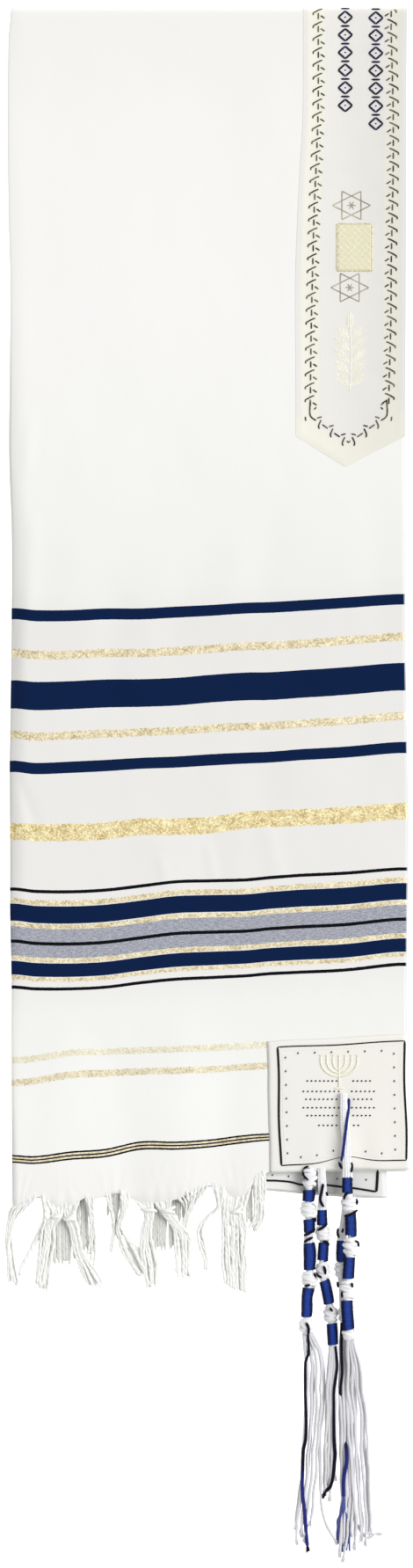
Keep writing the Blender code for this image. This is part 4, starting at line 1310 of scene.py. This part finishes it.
# A lock of fringe yarns: its bunch (0 for those behind), how many yarns it has, how raggedly they end, and
# pairs of points down its left and right sides from the hem
Lock = namedtuple("Lock", "bunch yarns ragged sides")
locks = [Lock(*row) for row in (
    (1, 8, 4, ((-150.4, -450, -132, -456), (-153, -466, -140, -466), (-156, -478, -148, -477),
        (-156.6, -495, -149.6, -495), (-156.6, -510, -147.6, -510), (-155.8, -521, -144.6, -526))),
    (2, 3, 4, ((-129, -457, -125, -458), (-127.5, -470, -123, -472), (-131.5, -484, -128, -486),
        (-144, -507, -139, -507), (-146.4, -517, -143.6, -519))),
    (2, 14, 7, ((-126, -459, -109, -467), (-121, -470, -112, -472), (-128.5, -479, -117, -480),
        (-131.8, -492, -116.8, -492), (-133.4, -510, -120.4, -510), (-134.6, -527, -123.2, -532))),
    (2, 12, 4, ((-113, -466, -99, -463), (-111.6, -472, -102.6, -471), (-108, -481, -99.6, -480),
        (-105.6, -491, -97.4, -491), (-103, -502, -94.6, -501), (-98.6, -515, -87, -513),
        (-96, -525, -79.6, -527))),
    (3, 5, 4, ((-95.4, -457, -87, -459), (-93, -468, -87.4, -468), (-91.6, -481, -86, -479),
        (-92.6, -495, -86.4, -495), (-93.2, -503, -87.6, -512))),
    (4, 2, 2, ((-80, -454, -74, -453), (-77, -466, -73.4, -466), (-73.6, -479, -71, -479),
        (-75, -490, -72.6, -490), (-75.6, -500, -73.2, -500))),
    (0, 14, 1, ((-80, -450, -63, -450), (-77.4, -461, -66, -461), (-75.2, -471, -69.2, -471),
        (-73.8, -482, -70.4, -482))),
    (4, 12, 3, ((-68, -453, -60, -455), (-67.6, -468, -62, -467), (-71.6, -479, -66, -478),
        (-71, -489, -61, -485), (-68.4, -499, -56, -493), (-63, -509, -50.6, -505),
        (-56.5, -520, -46, -516))),
    (5, 14, 3, ((-57, -460, -42, -463), (-50, -470, -41.4, -470), (-52.4, -484, -43.6, -484),
        (-54, -498, -40.6, -498), (-51.8, -512, -37.4, -509), (-48, -527, -40, -526))),
    (5, 12, 3, ((-42, -463, -28, -461), (-37, -469, -28.6, -468), (-29.4, -479, -20, -478),
        (-26.4, -489, -14, -489), (-25.6, -503, -13.6, -503), (-25.2, -518, -14.2, -520))),
    (5, 8, 3, ((-25, -455, 1, -446), (-20.6, -463, -4.6, -456), (-19.4, -471, -11.6, -467),
        (-21, -479, -15.6, -478), (-20.4, -493, -14.4, -493), (-19.6, -507, -14.8, -507),
        (-19.6, -516, -15.2, -518))),
    (6, 5, 2, ((2, -450, 12, -452), (5.8, -465, 10.6, -462), (-1.6, -472.4, 3.5, -468.5),
        (-8, -478.4, -1, -475), (-9.6, -485, -4.2, -484), (-7.4, -495, -1.4, -494), (-3.8, -505, 1.6, -504),
        (-3.4, -513, 1, -512))),
    (7, 22, 1, ((10, -452, 33, -450), (9.6, -471, 28.6, -467), (9.6, -482, 30.2, -481),
        (9.8, -503, 29.8, -503), (11, -514, 29.4, -516), (12.2, -525, 29.2, -530.5))),
    (8, 9, 2, ((33, -448, 44.4, -440), (33.6, -456, 44.6, -452), (34, -465, 44.4, -463),
        (34.2, -474, 43.4, -475), (29.6, -481, 39, -485))),
)]

# Knots in the fringe: which bunch, where, its half-width, its length and its turns
Knot = namedtuple("Knot", "bunch x y wide long turns")
knots = [Knot(*row) for row in (
    (2, -117, -471.5, 3.2, 2.4, 1), (2, -106.5, -472.5, 4.2, 4.6, 2), (5, -46, -466.5, 4.8, 2.6, 1),
    (5, -32, -466.5, 5.0, 3.6, 2), (7, 22, -467.0, 5.2, 4.4, 2),
)]

fringe = {
    "bunches": 8,
    "radius": 1.15,
    "roots": ((7.0, 0.7), (3.5, 0.1), (0.0, -0.35)),  # how far above the hem a yarn comes up, and its depth
    "gatherZ": 5.2,
    "landZ": 1.3,
    "upperPart": 0.62,  # of the yarns in a lock with two layers
    "layerLift": 1.8,
    "behindSink": 2.6,
    "spacing": 1.15,
    "plyPitch": 11.0,
    "plyApart": 0.22,  # each ply's way off the yarn's middle and its thickness, as parts of the yarn's radius
    "plyThick": 0.84,
    "knotHigh": 2.6,
    "wander": 1.5,
    # spans of the rows behind: left, right, low and yarns
    "behind": ((-122, -104, -507, 16), (-101, -94, -499, 7), (-77, -70, -471, 5), (-42, -26, -497, 14),
               (-25, -15, -474, 8), (29, 33, -477, 4)),
    "behindFall": ((0, 1.5), (0.3, 1.4), (0.7, 1.3), (1, 1.3)),  # their lean and height at four places down
}


def hemTop(x, y):
    # the face of the cloth where it is drawn down to the knots
    return clothTop(x, max(y, frontHem(x))) - cloth["hemDrape"] * max(frontHem(x) - y, 0.0)


def lumpy(path, radius, seed, root=0.35, tip=0.6, run=4):
    # a soft yarn's radii: drawn thin at its root, swelling and narrowing along its length
    radii = []
    for i in range(len(path)):
        swell = 1 + 0.24 * noise.noise(Vector((i / 3.1, seed, 4.4)))
        toTip = ease((len(path) - 1 - i) / 3)
        radii.append(radius * swell * mix(root, 1, ease(i / run)) * mix(tip, 1, toTip))
    return radii


def plyPair(path, radii, start):
    # a yarn's two plies, twisted about each other
    plies, travelled = ([], []), 0.0
    for i, point in enumerate(path):
        before, after = path[max(i - 1, 0)], path[min(i + 1, len(path) - 1)]
        travelled += (point - before).length
        run = (after - before).normalized()
        side = run.cross(Vector((0, 0, 1))).normalized()
        up = side.cross(run)
        for number, ply in enumerate(plies):
            angle = start + math.tau * travelled / fringe["plyPitch"] + math.pi * number
            place = point + (side * math.cos(angle) + up * math.sin(angle)) * radii[i] * fringe["plyApart"]
            place.z = max(place.z, radii[i] * fringe["plyThick"] + 0.05)
            ply.append(place)
    return [{"path": ply, "radius": [radius * fringe["plyThick"] for radius in radii]} for ply in plies]


def lockYarns(lock):
    # the yarns of one lock, in two layers where there are many; each comes up through the hem, is drawn to
    # the knot and falls to the table
    threads = []
    radius, gatherZ, yarns = fringe["radius"], fringe["gatherZ"], lock.yarns
    twoLayers = yarns > 4
    part = fringe["upperPart"] if twoLayers else 1.0
    above, last = int(yarns * part), len(lock.sides) - 1
    for number in range(yarns):
        before, after = int(number * part), int((number + 1) * part)
        upper = after > before
        rootShare = (number + 0.5) / yarns
        share = (before + 0.5) / above if upper else (number - before + 0.8) / (yarns - above + 0.6)
        seed = random.uniform(0, 50)
        cut = random.uniform(-lock.ragged, 0.5)
        drift = random.uniform(-0.2, 0.2)
        points = []
        for i, (leftX, leftY, rightX, rightY) in enumerate(lock.sides):
            leftX, rightX = leftX + radius * 0.7, rightX - radius * 0.7
            spot = min(max((rootShare if i < 2 else share) + drift * ease((i - 1) / (last - 1)), 0.0), 1.0)
            x, y = mix(leftX, rightX, spot), mix(leftY, rightY, spot)
            if i == 0:
                hem = frontHem(x) - scallop(x)
                lean = (x - mix(lock.sides[1][0], lock.sides[1][2], spot)) / max(hem - y, 12.0)
                for rise, depth in fringe["roots"]:
                    place = (x + lean * rise * 0.6, hem + rise)
                    points.append((*place, hemTop(*place) - radius * 0.7 - depth))
                continue
            if i == 1:
                z = gatherZ + (1.0 if upper else -0.6)
            else:
                z = mix(gatherZ, fringe["landZ"], ease((i - 0.6) / 2.2))
                z += fringe["layerLift"] if upper and twoLayers else 0
            if i == last:
                y -= cut
            points.append((x, y, z))
        path = smoothPath(points, fringe["spacing"])
        sink = fringe["behindSink"] if lock.bunch == 0 else 0
        for i, p in enumerate(path):
            loose = ease((i - 16) / 14)
            p.x += loose * fringe["wander"] * noise.noise(Vector((i / 12.0, seed, 0.3)))
            p.z += loose * 0.5 * noise.noise(Vector((i / 11.0, seed, 7.3))) - sink
        thick = radius * random.uniform(0.75, 1.25)
        radii = lumpy(path, thick, seed, 0.6, 0.6, 8)
        for p, swollen in zip(path, radii):
            p.z = max(p.z, swollen * 1.1 + 0.05)
        threads += plyPair(path, radii, seed)
    return threads


def knotTurns(centre, wide, high, long, turns, radius):
    # turns of yarn pulled tight round a bundle that runs down the shawl, each one aslant and uneven
    threads = []
    for number in range(turns):
        along = mix(-0.5, 0.5, (number + 0.5) / turns) * long
        slant = random.uniform(-0.3, 0.3) + (0.5 if number % 2 else -0.5)
        swell = (1.12 - abs(along / long) * 0.5) * random.uniform(0.88, 1.08)
        shift = random.uniform(-0.5, 0.5)
        path = []
        for step in range(20):
            angle = math.tau * step / 20
            x = wide * swell * math.cos(angle)
            z = centre[2] + high * swell * math.sin(angle)
            y = centre[1] + along + slant * x * 0.45 + 0.7 * math.sin(2 * angle + number)
            path.append((centre[0] + shift + x, y, max(z, radius * 1.3 + 0.1)))
        lumps = [noise.noise(Vector((step / 2.5, number, centre[0]))) for step in range(20)]
        radii = [radius * (1.12 + 0.22 * lump) for lump in lumps]
        threads.append({"path": path, "radius": radii, "closed": True})
    return threads


def buildFringe():
    made = []
    for bunch in range(1, fringe["bunches"] + 1):
        threads = [thread for lock in locks if lock.bunch == bunch for thread in lockYarns(lock)]
        for knot in knots:
            if knot.bunch == bunch:
                centre = (knot.x, knot.y, fringe["gatherZ"] + 0.3)
                threads += knotTurns(centre, knot.wide, fringe["knotHigh"], knot.long, knot.turns,
                                     fringe["radius"])
        piece = addThreads(f"fringeBunch{bunch}", threads, finishes["fringe"])
        made.append(onBody(piece, "white_yarn", f"fringe_bunch_{bunch}"))
    threads = [thread for lock in locks if lock.bunch == 0 for thread in lockYarns(lock)]
    for left, right, low, count in fringe["behind"]:
        for number in range(count):
            x = mix(left, right, (number + 0.5) / count) + random.uniform(-0.4, 0.4)
            end = low + random.uniform(-2, 4)
            lean = random.uniform(-1.6, 1.6)
            hem = frontHem(x) + 12
            heights = (hem, hem - 14, mix(hem, end, 0.6), end)
            points = [(x + lean * part, y, z) for y, (part, z) in zip(heights, fringe["behindFall"])]
            path = smoothPath(points, fringe["spacing"] * 1.3)
            threads += plyPair(path, lumpy(path, fringe["radius"], x, 0.8), x)
    piece = addThreads("fringeRowsBehind", threads, finishes["fringeShaded"])
    made.append(onBody(piece, "white_yarn", "fringe_behind"))
    return made


fringePieces = buildFringe()
print("fringe knotted:", len(fringePieces), "pieces")


# A stem's middle line with its half-width and half-height
Stem = namedtuple("Stem", "y x z wide high")
# A stretch of a stem: blue winding, white knot, or bare strands
Stretch = namedtuple("Stretch", "kind top low")
# Loose strands below the stem: left and right reach and middle height
Reach = namedtuple("Reach", "y left right z")
tassels = {
    "front": {
        "stem": (
            (-376.5, 103.2, 11.6, 2.4, 1.6), (-392, 103.8, 12.2, 3.2, 2.0), (-432, 105.6, 12.6, 3.4, 2.2),
            (-440, 106.0, 12.6, 4.0, 3.2), (-453, 106.2, 12.6, 4.4, 3.8), (-470, 108.4, 12.6, 4.6, 3.8),
            (-485, 108.8, 12.6, 4.7, 3.8), (-502, 107.8, 12.4, 4.6, 3.8), (-518, 106.8, 12.2, 4.8, 3.8),
            (-537, 105.8, 12.2, 4.8, 3.8), (-556, 107.0, 12.0, 4.8, 3.8), (-564.5, 108.2, 11.4, 4.4, 3.6),
        ),
        "stretches": (
            ("lead", -376.5, -441), ("blue", -440, -453.8), ("knot", -454.3, -467.7),
            ("blue", -468.2, -486.6), ("knot", -487.0, -501.4), ("blue", -501.6, -518.9),
            ("knot", -519.2, -534.4), ("blue", -534.6, -557.9), ("knot", -558.2, -565.0),
        ),
        "slips": (
            ((107.2, -380.6), (107.0, -388), (105.6, -398), (103.9, -411.4), (102.2, -424.7),
                (101.4, -428.5)),
            ((99.3, -429.4), (100.6, -431.6), (101.6, -434.4)),
            ((109.1, -429.4), (109.5, -433), (109.1, -436.8)),
            ((103.4, -457.4), (104.2, -454.2), (106.9, -452.0)),
            ((112.9, -457.0), (113.5, -459.6), (113.2, -462.0)),
            ((103.7, -470.4), (108.6, -468.9), (113.9, -465.8)),
            ((112.2, -489.0), (114.2, -490.8), (114.6, -494.6)),
            ((103.0, -480.0), (101.9, -483.2)),
            ((109.3, -521.0), (109.9, -524.6)),
            ((101.6, -528.0), (102.0, -532.6)),
        ),
        "reach": (
            (-565, 104.6, 112.4, 10.8), (-578, 103.6, 116.5, 6.6), (-600, 103.2, 121.8, 3.6),
            (-640, 104.2, 125.6, 3.2), (-680, 106.8, 127.2, 3.0), (-718, 109.6, 127.4, 2.4),
        ),
        "ends": (-722, -714, -719, -709, -720, -716, -711, -713),
        "blueStrand": None,
        "stray": (
            (109.0, -565, 8.0), (108.2, -590, 3.4), (104.6, -620, 3.0), (103.2, -650, 2.6),
            (104.8, -680, 1.6), (107.8, -696, 1.4), (111.4, -704, 1.4), (114.8, -709.8, 1.4),
            (118.2, -715.6, 1.4), (121.4, -718.6, 1.4), (124.6, -718.4, 1.4), (127.2, -715.6, 1.4),
        ),
    },
    "left": {
        "stem": (
            (-432, 78.6, 10.4, 3.2, 2.6), (-438, 77.4, 9.8, 4.4, 3.2), (-446, 76.8, 9.6, 5.0, 3.6),
            (-455, 76.8, 9.2, 5.0, 3.4), (-461, 76.0, 7.4, 4.6, 3.6), (-468, 76.6, 5.6, 5.0, 4.0),
            (-478, 77.2, 4.8, 4.6, 3.9), (-489, 76.8, 4.4, 4.4, 3.9), (-500, 77.6, 4.3, 5.1, 3.9),
            (-513, 77.2, 4.3, 4.6, 3.9), (-526, 76.8, 4.4, 4.8, 3.9), (-533, 75.5, 4.3, 4.5, 3.9),
            (-543, 75.4, 4.3, 4.6, 3.9), (-549, 75.0, 4.3, 4.4, 3.9), (-561, 74.8, 4.3, 4.4, 3.8),
        ),
        "stretches": (
            ("knot", -433.5, -449.5), ("blue", -450.4, -460.3), ("knot", -460.6, -472.9),
            ("blue", -473.2, -484.4), ("lead", -483.9, -491.8), ("blue", -491.3, -513.4),
            ("knot", -513.7, -525.6), ("blue", -525.8, -549.2), ("knot", -549.8, -561.3),
        ),
        "slips": (
            ((76.0, -432.4), (73.4, -434.6), (72.4, -438.0), (73.2, -440.6), (76.0, -442.6)),
            ((81.4, -472.0), (81.9, -475.4)),
            ((73.0, -486.0), (77.0, -484.0), (81.6, -481.4)),
            ((79.6, -487.4), (75.4, -489.4), (73.0, -491.4)),
            ((81.0, -514.6), (81.8, -518.0)),
            ((73.4, -524.6), (77.6, -523.4)),
            ((74.6, -552.4), (76.4, -556.6), (76.2, -562.0)),
        ),
        "reach": (
            (-561, 71.0, 79.4, 4.2), (-575, 71.4, 88.0, 3.4), (-607, 72.0, 89.6, 3.2),
            (-650, 70.0, 86.6, 3.2), (-690, 66.4, 84.0, 3.0), (-720, 64.6, 80.0, 2.4),
        ),
        "ends": (-706, -712, -716, -704, -718, -709, -714, -720),
        "blueStrand": (
            (76.0, -562, 6.0), (76.6, -577, 5.8), (74.2, -583, 5.6), (74.0, -607, 5.4), (74.7, -627, 5.4),
            (74.2, -643, 5.4), (72.6, -650, 5.4), (71.9, -666, 5.3), (71.7, -681, 5.2), (73.2, -695, 5.0),
            (74.1, -704, 4.6), (74.6, -713, 3.6), (75.7, -724, 2.0),
        ),
        "palesFrom": -620,
        "stray": (
            (79.0, -561, 4.2), (86.2, -577, 2.6), (88.6, -600, 1.4), (87.4, -622, 1.4), (85.2, -640, 1.4),
            (85.4, -665, 1.4), (86.4, -692, 1.4), (89.8, -707, 1.4), (95.6, -718, 1.4),
        ),
    },
    "middle": {
        "stem": (
            (-434, 86.4, 9.2, 2.6, 2.0), (-448, 86.8, 8.8, 3.2, 2.4), (-455, 87.2, 8.6, 3.4, 2.8),
            (-464, 87.0, 6.6, 3.8, 3.4), (-477, 87.0, 4.6, 4.3, 3.9), (-490, 88.2, 4.3, 4.2, 3.9),
            (-506, 87.4, 4.3, 4.4, 3.9), (-519, 88.0, 4.4, 4.2, 3.9), (-523, 89.4, 4.3, 4.3, 3.9),
            (-533, 91.5, 4.3, 4.4, 3.9), (-541, 92.6, 4.3, 4.3, 3.9), (-553, 94.4, 4.3, 4.4, 3.9),
            (-571, 95.3, 4.3, 4.3, 3.8),
        ),
        "stretches": (
            ("lead", -434, -466.2), ("blue", -465.7, -478.5), ("knot", -479.0, -490.8),
            ("blue", -491.0, -506.3), ("knot", -506.8, -520.0), ("blue", -520.2, -539.5),
            ("knot", -540.0, -553.0), ("blue", -553.2, -570.8),
        ),
        "slips": (
            ((87.6, -446.0), (86.4, -452.0), (85.4, -457.6), (86.2, -461.0), (88.2, -463.6)),
            ((90.2, -452.4), (90.9, -455.4)),
            ((90.8, -477.2), (87.6, -479.4), (83.6, -481.8)),
            ((87.2, -490.2), (90.0, -490.8), (92.4, -493.2)),
            ((88.0, -509.0), (89.0, -512.0), (89.4, -515.4)),
            ((82.9, -515.0), (84.4, -516.8), (86.4, -518.0)),
            ((92.6, -541.0), (94.8, -543.6)),
        ),
        "reach": (
            (-571, 91.4, 99.8, 4.2), (-585, 90.0, 100.2, 3.4), (-607, 89.0, 99.4, 3.2),
            (-640, 87.6, 99.6, 3.2), (-670, 87.0, 99.0, 2.8), (-690, 87.4, 97.0, 2.2),
        ),
        "ends": (-679, -672, -684, -668, -681, -675, -670, -677),
        "blueStrand": (
            (97.0, -571, 6.0), (98.5, -585.6, 5.6), (96.9, -598.5, 5.5), (95.9, -607.5, 5.4),
            (95.9, -627, 5.4), (96.2, -644, 5.3), (97.0, -653, 5.2), (96.4, -660, 5.0), (95.4, -670, 4.6),
            (92.9, -680, 3.6), (90.0, -682.4, 3.2),
        ),
    },
    "behind": {
        "stem": (
            (-440, 104.4, 2.8, 2.6, 1.2), (-456, 105.0, 2.9, 2.8, 1.5), (-468, 105.2, 3.6, 3.2, 2.4),
            (-480, 103.6, 4.2, 3.6, 3.2), (-489, 102.2, 4.3, 4.1, 3.9), (-504, 101.8, 4.3, 4.3, 3.9),
            (-530, 103.4, 4.3, 3.8, 3.4), (-546, 104.0, 4.3, 3.6, 3.2), (-553, 104.2, 4.0, 3.6, 3.2),
        ),
        "stretches": (
            ("lead", -440, -490), ("blue", -489.4, -506.6), ("knot", -507.0, -519.4),
            ("lead", -518.4, -541), ("knot", -540.4, -553.0),
        ),
        "slips": (
            ((99.4, -480.6), (98.8, -484.4), (99.6, -487.6)),
            ((98.6, -521.6), (99.4, -526.0)),
        ),
        "reach": (
            (-553, 100.2, 108.0, 3.9), (-575, 99.4, 108.0, 2.6), (-600, 98.6, 110.0, 2.2),
            (-628, 98.6, 112.0, 3.4), (-650, 99.2, 113.0, 2.4), (-680, 99.8, 114.0, 2.2),
            (-712, 98.8, 112.0, 2.2), (-732, 98.8, 108.0, 2.0),
        ),
        "ends": (-728, -718, -731, -712, -725, -720, -715, -722),
        "blueStrand": (
            (102.0, -553, 6.4), (101.7, -575, 6.8), (102.3, -591, 6.6), (100.9, -604, 5.6),
            (101.4, -613, 2.2), (102.7, -628, 1.6), (104.4, -642, 2.6), (105.6, -650, 5.4),
            (105.8, -660, 5.8), (104.2, -668, 5.6), (103.3, -676, 5.5), (103.3, -686, 5.4),
        ),
        "palesFrom": -600,
        "fray": (11, 46.0, 5.2),
    },
}

cord = {
    "radius": 1.2,  # a tassel's strand
    "blueRadius": 1.1,
    "wave": 0.9,
    "knotRadius": 1.5,
    "knotSwell": 1.05,
    "windingRadius": 0.95,
    "windingPitch": 1.5,
    "perTurn": 20,
    "whiteStrands": 7,
    "strandsAbove": 4,  # the others lie beneath them
    # where each strand of a bare stem lies, as parts of the stem's half-width and half-height
    "leadPlaces": ((-0.66, 0.35), (-0.22, 0.6), (0.22, 0.6), (0.66, 0.3), (-0.5, -0.5), (0.0, -0.55),
                   (0.5, -0.5)),
    "fray": (3, 8.0, 1.4),  # fine plies at a strand's end, how long they are and how far they spread
}
for tassel in tassels.values():
    for part, kind in (("stem", Stem), ("stretches", Stretch), ("reach", Reach)):
        tassel[part] = [kind(*row) for row in tassel[part]]


def stemAt(name, y):
    return rowAt(tassels[name]["stem"], y, "x", "z", "wide", "high")


def windingThread(name, top, low):
    # one cord wound round the stem, turn against turn
    radius = cord["windingRadius"]
    turns = abs(top - low) / cord["windingPitch"]
    path = []
    for step in range(int(turns * cord["perTurn"]) + 1):
        y = mix(top - radius, low + radius, step / (turns * cord["perTurn"]))
        x, z, wide, high = stemAt(name, y)
        slope = (stemAt(name, y - 2)[0] - stemAt(name, y + 2)[0]) / -4
        angle = math.tau * step / cord["perTurn"]
        uneven = 1 + 0.035 * noise.noise(Vector((y / 3, angle, 1.0)))
        across = (wide - radius) * math.cos(angle) * uneven
        path.append((x + across, y - slope * across, z + (high - radius) * math.sin(angle) * uneven))
    return {"path": path, "radius": radius}


def leadThreads(name, top, low):
    # the strands side by side, in two layers, with the slightest twist
    threads = []
    for number, (across, up) in enumerate(cord["leadPlaces"]):
        path = []
        for y in evenly(top, low, 24):
            x, z, wide, high = stemAt(name, y)
            sway = 0.14 * noise.noise(Vector((y / 14, number * 3.1, 0.0)))
            path.append((x + (across + sway) * wide, y, max(z + up * high, cord["radius"] + 0.1)))
        threads.append({"path": path, "radius": cord["radius"]})
    return threads


def slipThreads(name):
    # the blue strand where it shows: laid over a knot or slipped under a winding
    threads = []
    for slip in tassels[name]["slips"]:
        path = smoothPath([(x, y, 0.0) for x, y in slip], 0.8)
        for p in path:
            x, z, wide, high = stemAt(name, p.y)
            across = min(abs(p.x - x) / (wide * 1.15), 0.98)
            onKnot = any(row.kind == "knot" and row.low < p.y < row.top for row in tassels[name]["stretches"])
            p.z = z + (high + (2.1 if onKnot else 0.8)) * math.sqrt(1 - across * across)
        threads.append({"path": path, "radius": tapered(len(path), cord["blueRadius"], 0.6)})
    return threads


def knotThreads(name, top, low):
    # a double knot: fat crossing turns of white strands over a plump core
    middleY, long = (top + low) / 2, top - low
    x, z, wide, high = stemAt(name, middleY)
    turns = 5 if long > 11 else 4
    wide = wide * cord["knotSwell"] - 0.6
    threads = knotTurns((x, middleY, z), wide, high * 0.9, long * 0.74, turns, cord["knotRadius"])
    path, radii = [], []
    for step, y in enumerate(evenly(top, low, 14)):
        coreX, coreZ, _, coreHigh = stemAt(name, y)
        path.append((coreX + 0.3 * math.sin(step), y, max(coreZ, coreHigh * 0.95)))
        radii.append(coreHigh * 0.98 * (0.8 + 0.25 * math.sin(math.pi * step / 14)))
    threads.append({"path": path, "radius": radii})
    return threads


def markFadeAndLight(piece, fading):
    # notes how pale each point is drawn, for its finish to read: a fade on the blue strands, painted light on
    # the windings
    fade = piece.data.attributes.new("faded", "FLOAT", "POINT")
    for vertex in piece.data.vertices:
        fade.data[vertex.index].value = fading(vertex.co / mm)


def buildStem(name):
    white, blue = [], []
    for stretch in tassels[name]["stretches"]:
        if stretch.kind == "blue":
            blue.append(windingThread(name, stretch.top, stretch.low))
        elif stretch.kind == "knot":
            white += knotThreads(name, stretch.top, stretch.low)
        else:
            white += leadThreads(name, stretch.top, stretch.low)
    stem = tassels[name]["stem"]
    core, radii = [], []
    for y in evenly(stem[0].y - 3, stem[-1].y, 59):
        x, z, _, high = stemAt(name, y)
        core.append((x, y, z))
        radii.append(max(min(high - 1.3, 2.6), 0.6))
    white.append({"path": core, "radius": radii})
    title = name.capitalize()
    made = [addThreads(f"tassel{title}Knots", white, finishes["knot"], 8),
            addThreads(f"tassel{title}Windings", blue, finishes["winding"]),
            addThreads(f"tassel{title}BlueSlips", slipThreads(name), finishes["deepBlue"])]

    def windingLight(p):
        # painted light: the windings are paler where they stand highest, and painted shade darkens their
        # sides
        _, z, _, high = stemAt(name, p.y)
        return (p.z - z) / high

    markFadeAndLight(made[1], windingLight)
    markFadeAndLight(made[2], lambda p: 1.2 * ease((p.y + 434) / 6))
    onBody(made[0], "white_yarn", f"tassel_{name}_stem")
    onBody(made[1], "blue_winding")
    onBody(made[2], "blue_winding")
    return made


def strandPath(name, number, low):
    # a loose strand that wanders down between its neighbours, the first few above and the others beneath
    rows, radius, above = tassels[name]["reach"], cord["radius"], cord["strandsAbove"]
    if number < above:
        home = (number + 0.62) / (above + 0.24)
    else:
        home = (number - above + 0.3) / (cord["whiteStrands"] - above + 0.1)
    layer = 1 if number < above else -1
    points = []
    steps = 24
    for step in range(steps + 1):
        y = mix(rows[0].y, low, step / steps)
        left, right, z = rowAt(rows, y, "left", "right", "z")
        wander = 0.07 * noise.noise(Vector((step * 0.22, number * 2.7, len(name)))) * ease(step / 4)
        share = min(max(home + wander, 0.0), 1.0)
        wave = noise.noise(Vector((y / 17, 8.0, len(name))))
        wave += 0.6 * noise.noise(Vector((y / 11, number * 3.3, 2.0)))
        x = mix(left + radius, right - radius, share) + cord["wave"] * wave * ease(step / 4)
        height = z + layer * radius * 0.95 + 0.3 * noise.noise(Vector((step * 0.25, number, 5)))
        points.append((x, y, max(height, radius * 1.24 + 0.05)))
    return smoothPath(points, 3.5)


def frayedEnds(path, radius, fray):
    # the last of a strand untwisted into a few fine plies
    count, long, wide = fray
    thin = 0.5 if long < 20 else 0.62
    threads = []
    end, before = Vector(path[-1]), Vector(path[-4])
    run = (end - before).normalized()
    for number in range(count):
        points = [end - run * 3]
        reach = long * random.uniform(0.75, 1.0)
        for step in range(1, 8):
            share = step / 7
            spread = ((number + 0.5) / count - 0.5) * 2 * wide * ease(share * 1.4)
            spread += 0.25 * wide * noise.noise(Vector((step * 0.8, number * 2.3, end.x)))
            place = end + run * (share * reach - 1.0) + Vector((run.y, -run.x, 0)) * spread
            place.z = max(mix(end.z, radius, share), radius)
            points.append(place)
        threads.append({"path": smoothPath(points, 1.2), "radius": radius * thin})
    return threads


def addStrand(label, path, finish, slot, radius, fray, *nodes):
    # a loose strand with its frayed end; the blue ones thicken as they untwist
    radii = lumpy(path, radius, len(label) + path[-1][1], 1.0, 0.8)
    if finish is not finishes["tassel"]:
        radii = [radius * mix(1, 1.3, ease((-600 - p[1]) / 60)) for p in path]
    strand = addThreads(label, [{"path": path, "radius": radii}], finish, 8)
    onBody(strand, slot, *nodes)
    frayFinish = finishes["frayedBlue"] if fray[1] > 20 else finish
    plies = onBody(addThreads(f"{label}Fray", frayedEnds(path, radius, fray), frayFinish), slot)
    return strand


def buildStrands(name):
    made = []
    title, tassel, count = name.capitalize(), tassels[name], cord["whiteStrands"]
    if not tassel["blueStrand"]:
        count += 1
    for number in range(count):
        path = strandPath(name, number, tassel["ends"][number])
        if number == count - 1 and "stray" in tassel:
            path = smoothPath(tassel["stray"], 3.5)
        nodes = [f"tassel_{name}_strands"] if number == 0 else []
        made.append(addStrand(f"tassel{title}Strand{number + 1}", path, finishes["tassel"], "white_yarn",
                              cord["radius"], cord["fray"], *nodes))
    if tassel["blueStrand"]:
        path = smoothPath(tassel["blueStrand"], 3.0)
        made.append(addStrand(f"tassel{title}StrandBlue", path, finishes["deepBlue"], "blue_winding",
                              cord["blueRadius"], tassel.get("fray", cord["fray"])))
        if "palesFrom" in tassel:
            markFadeAndLight(made[-1], lambda p: 1.3 * ease((tassel["palesFrom"] - p.y) / 80))
    return made


stemPieces, strandPieces = [], []
for tasselName in tassels:
    stemPieces += buildStem(tasselName)
    strandPieces += buildStrands(tasselName)
print("tassels tied:", len(stemPieces), "stem pieces and", len(strandPieces), "strands")
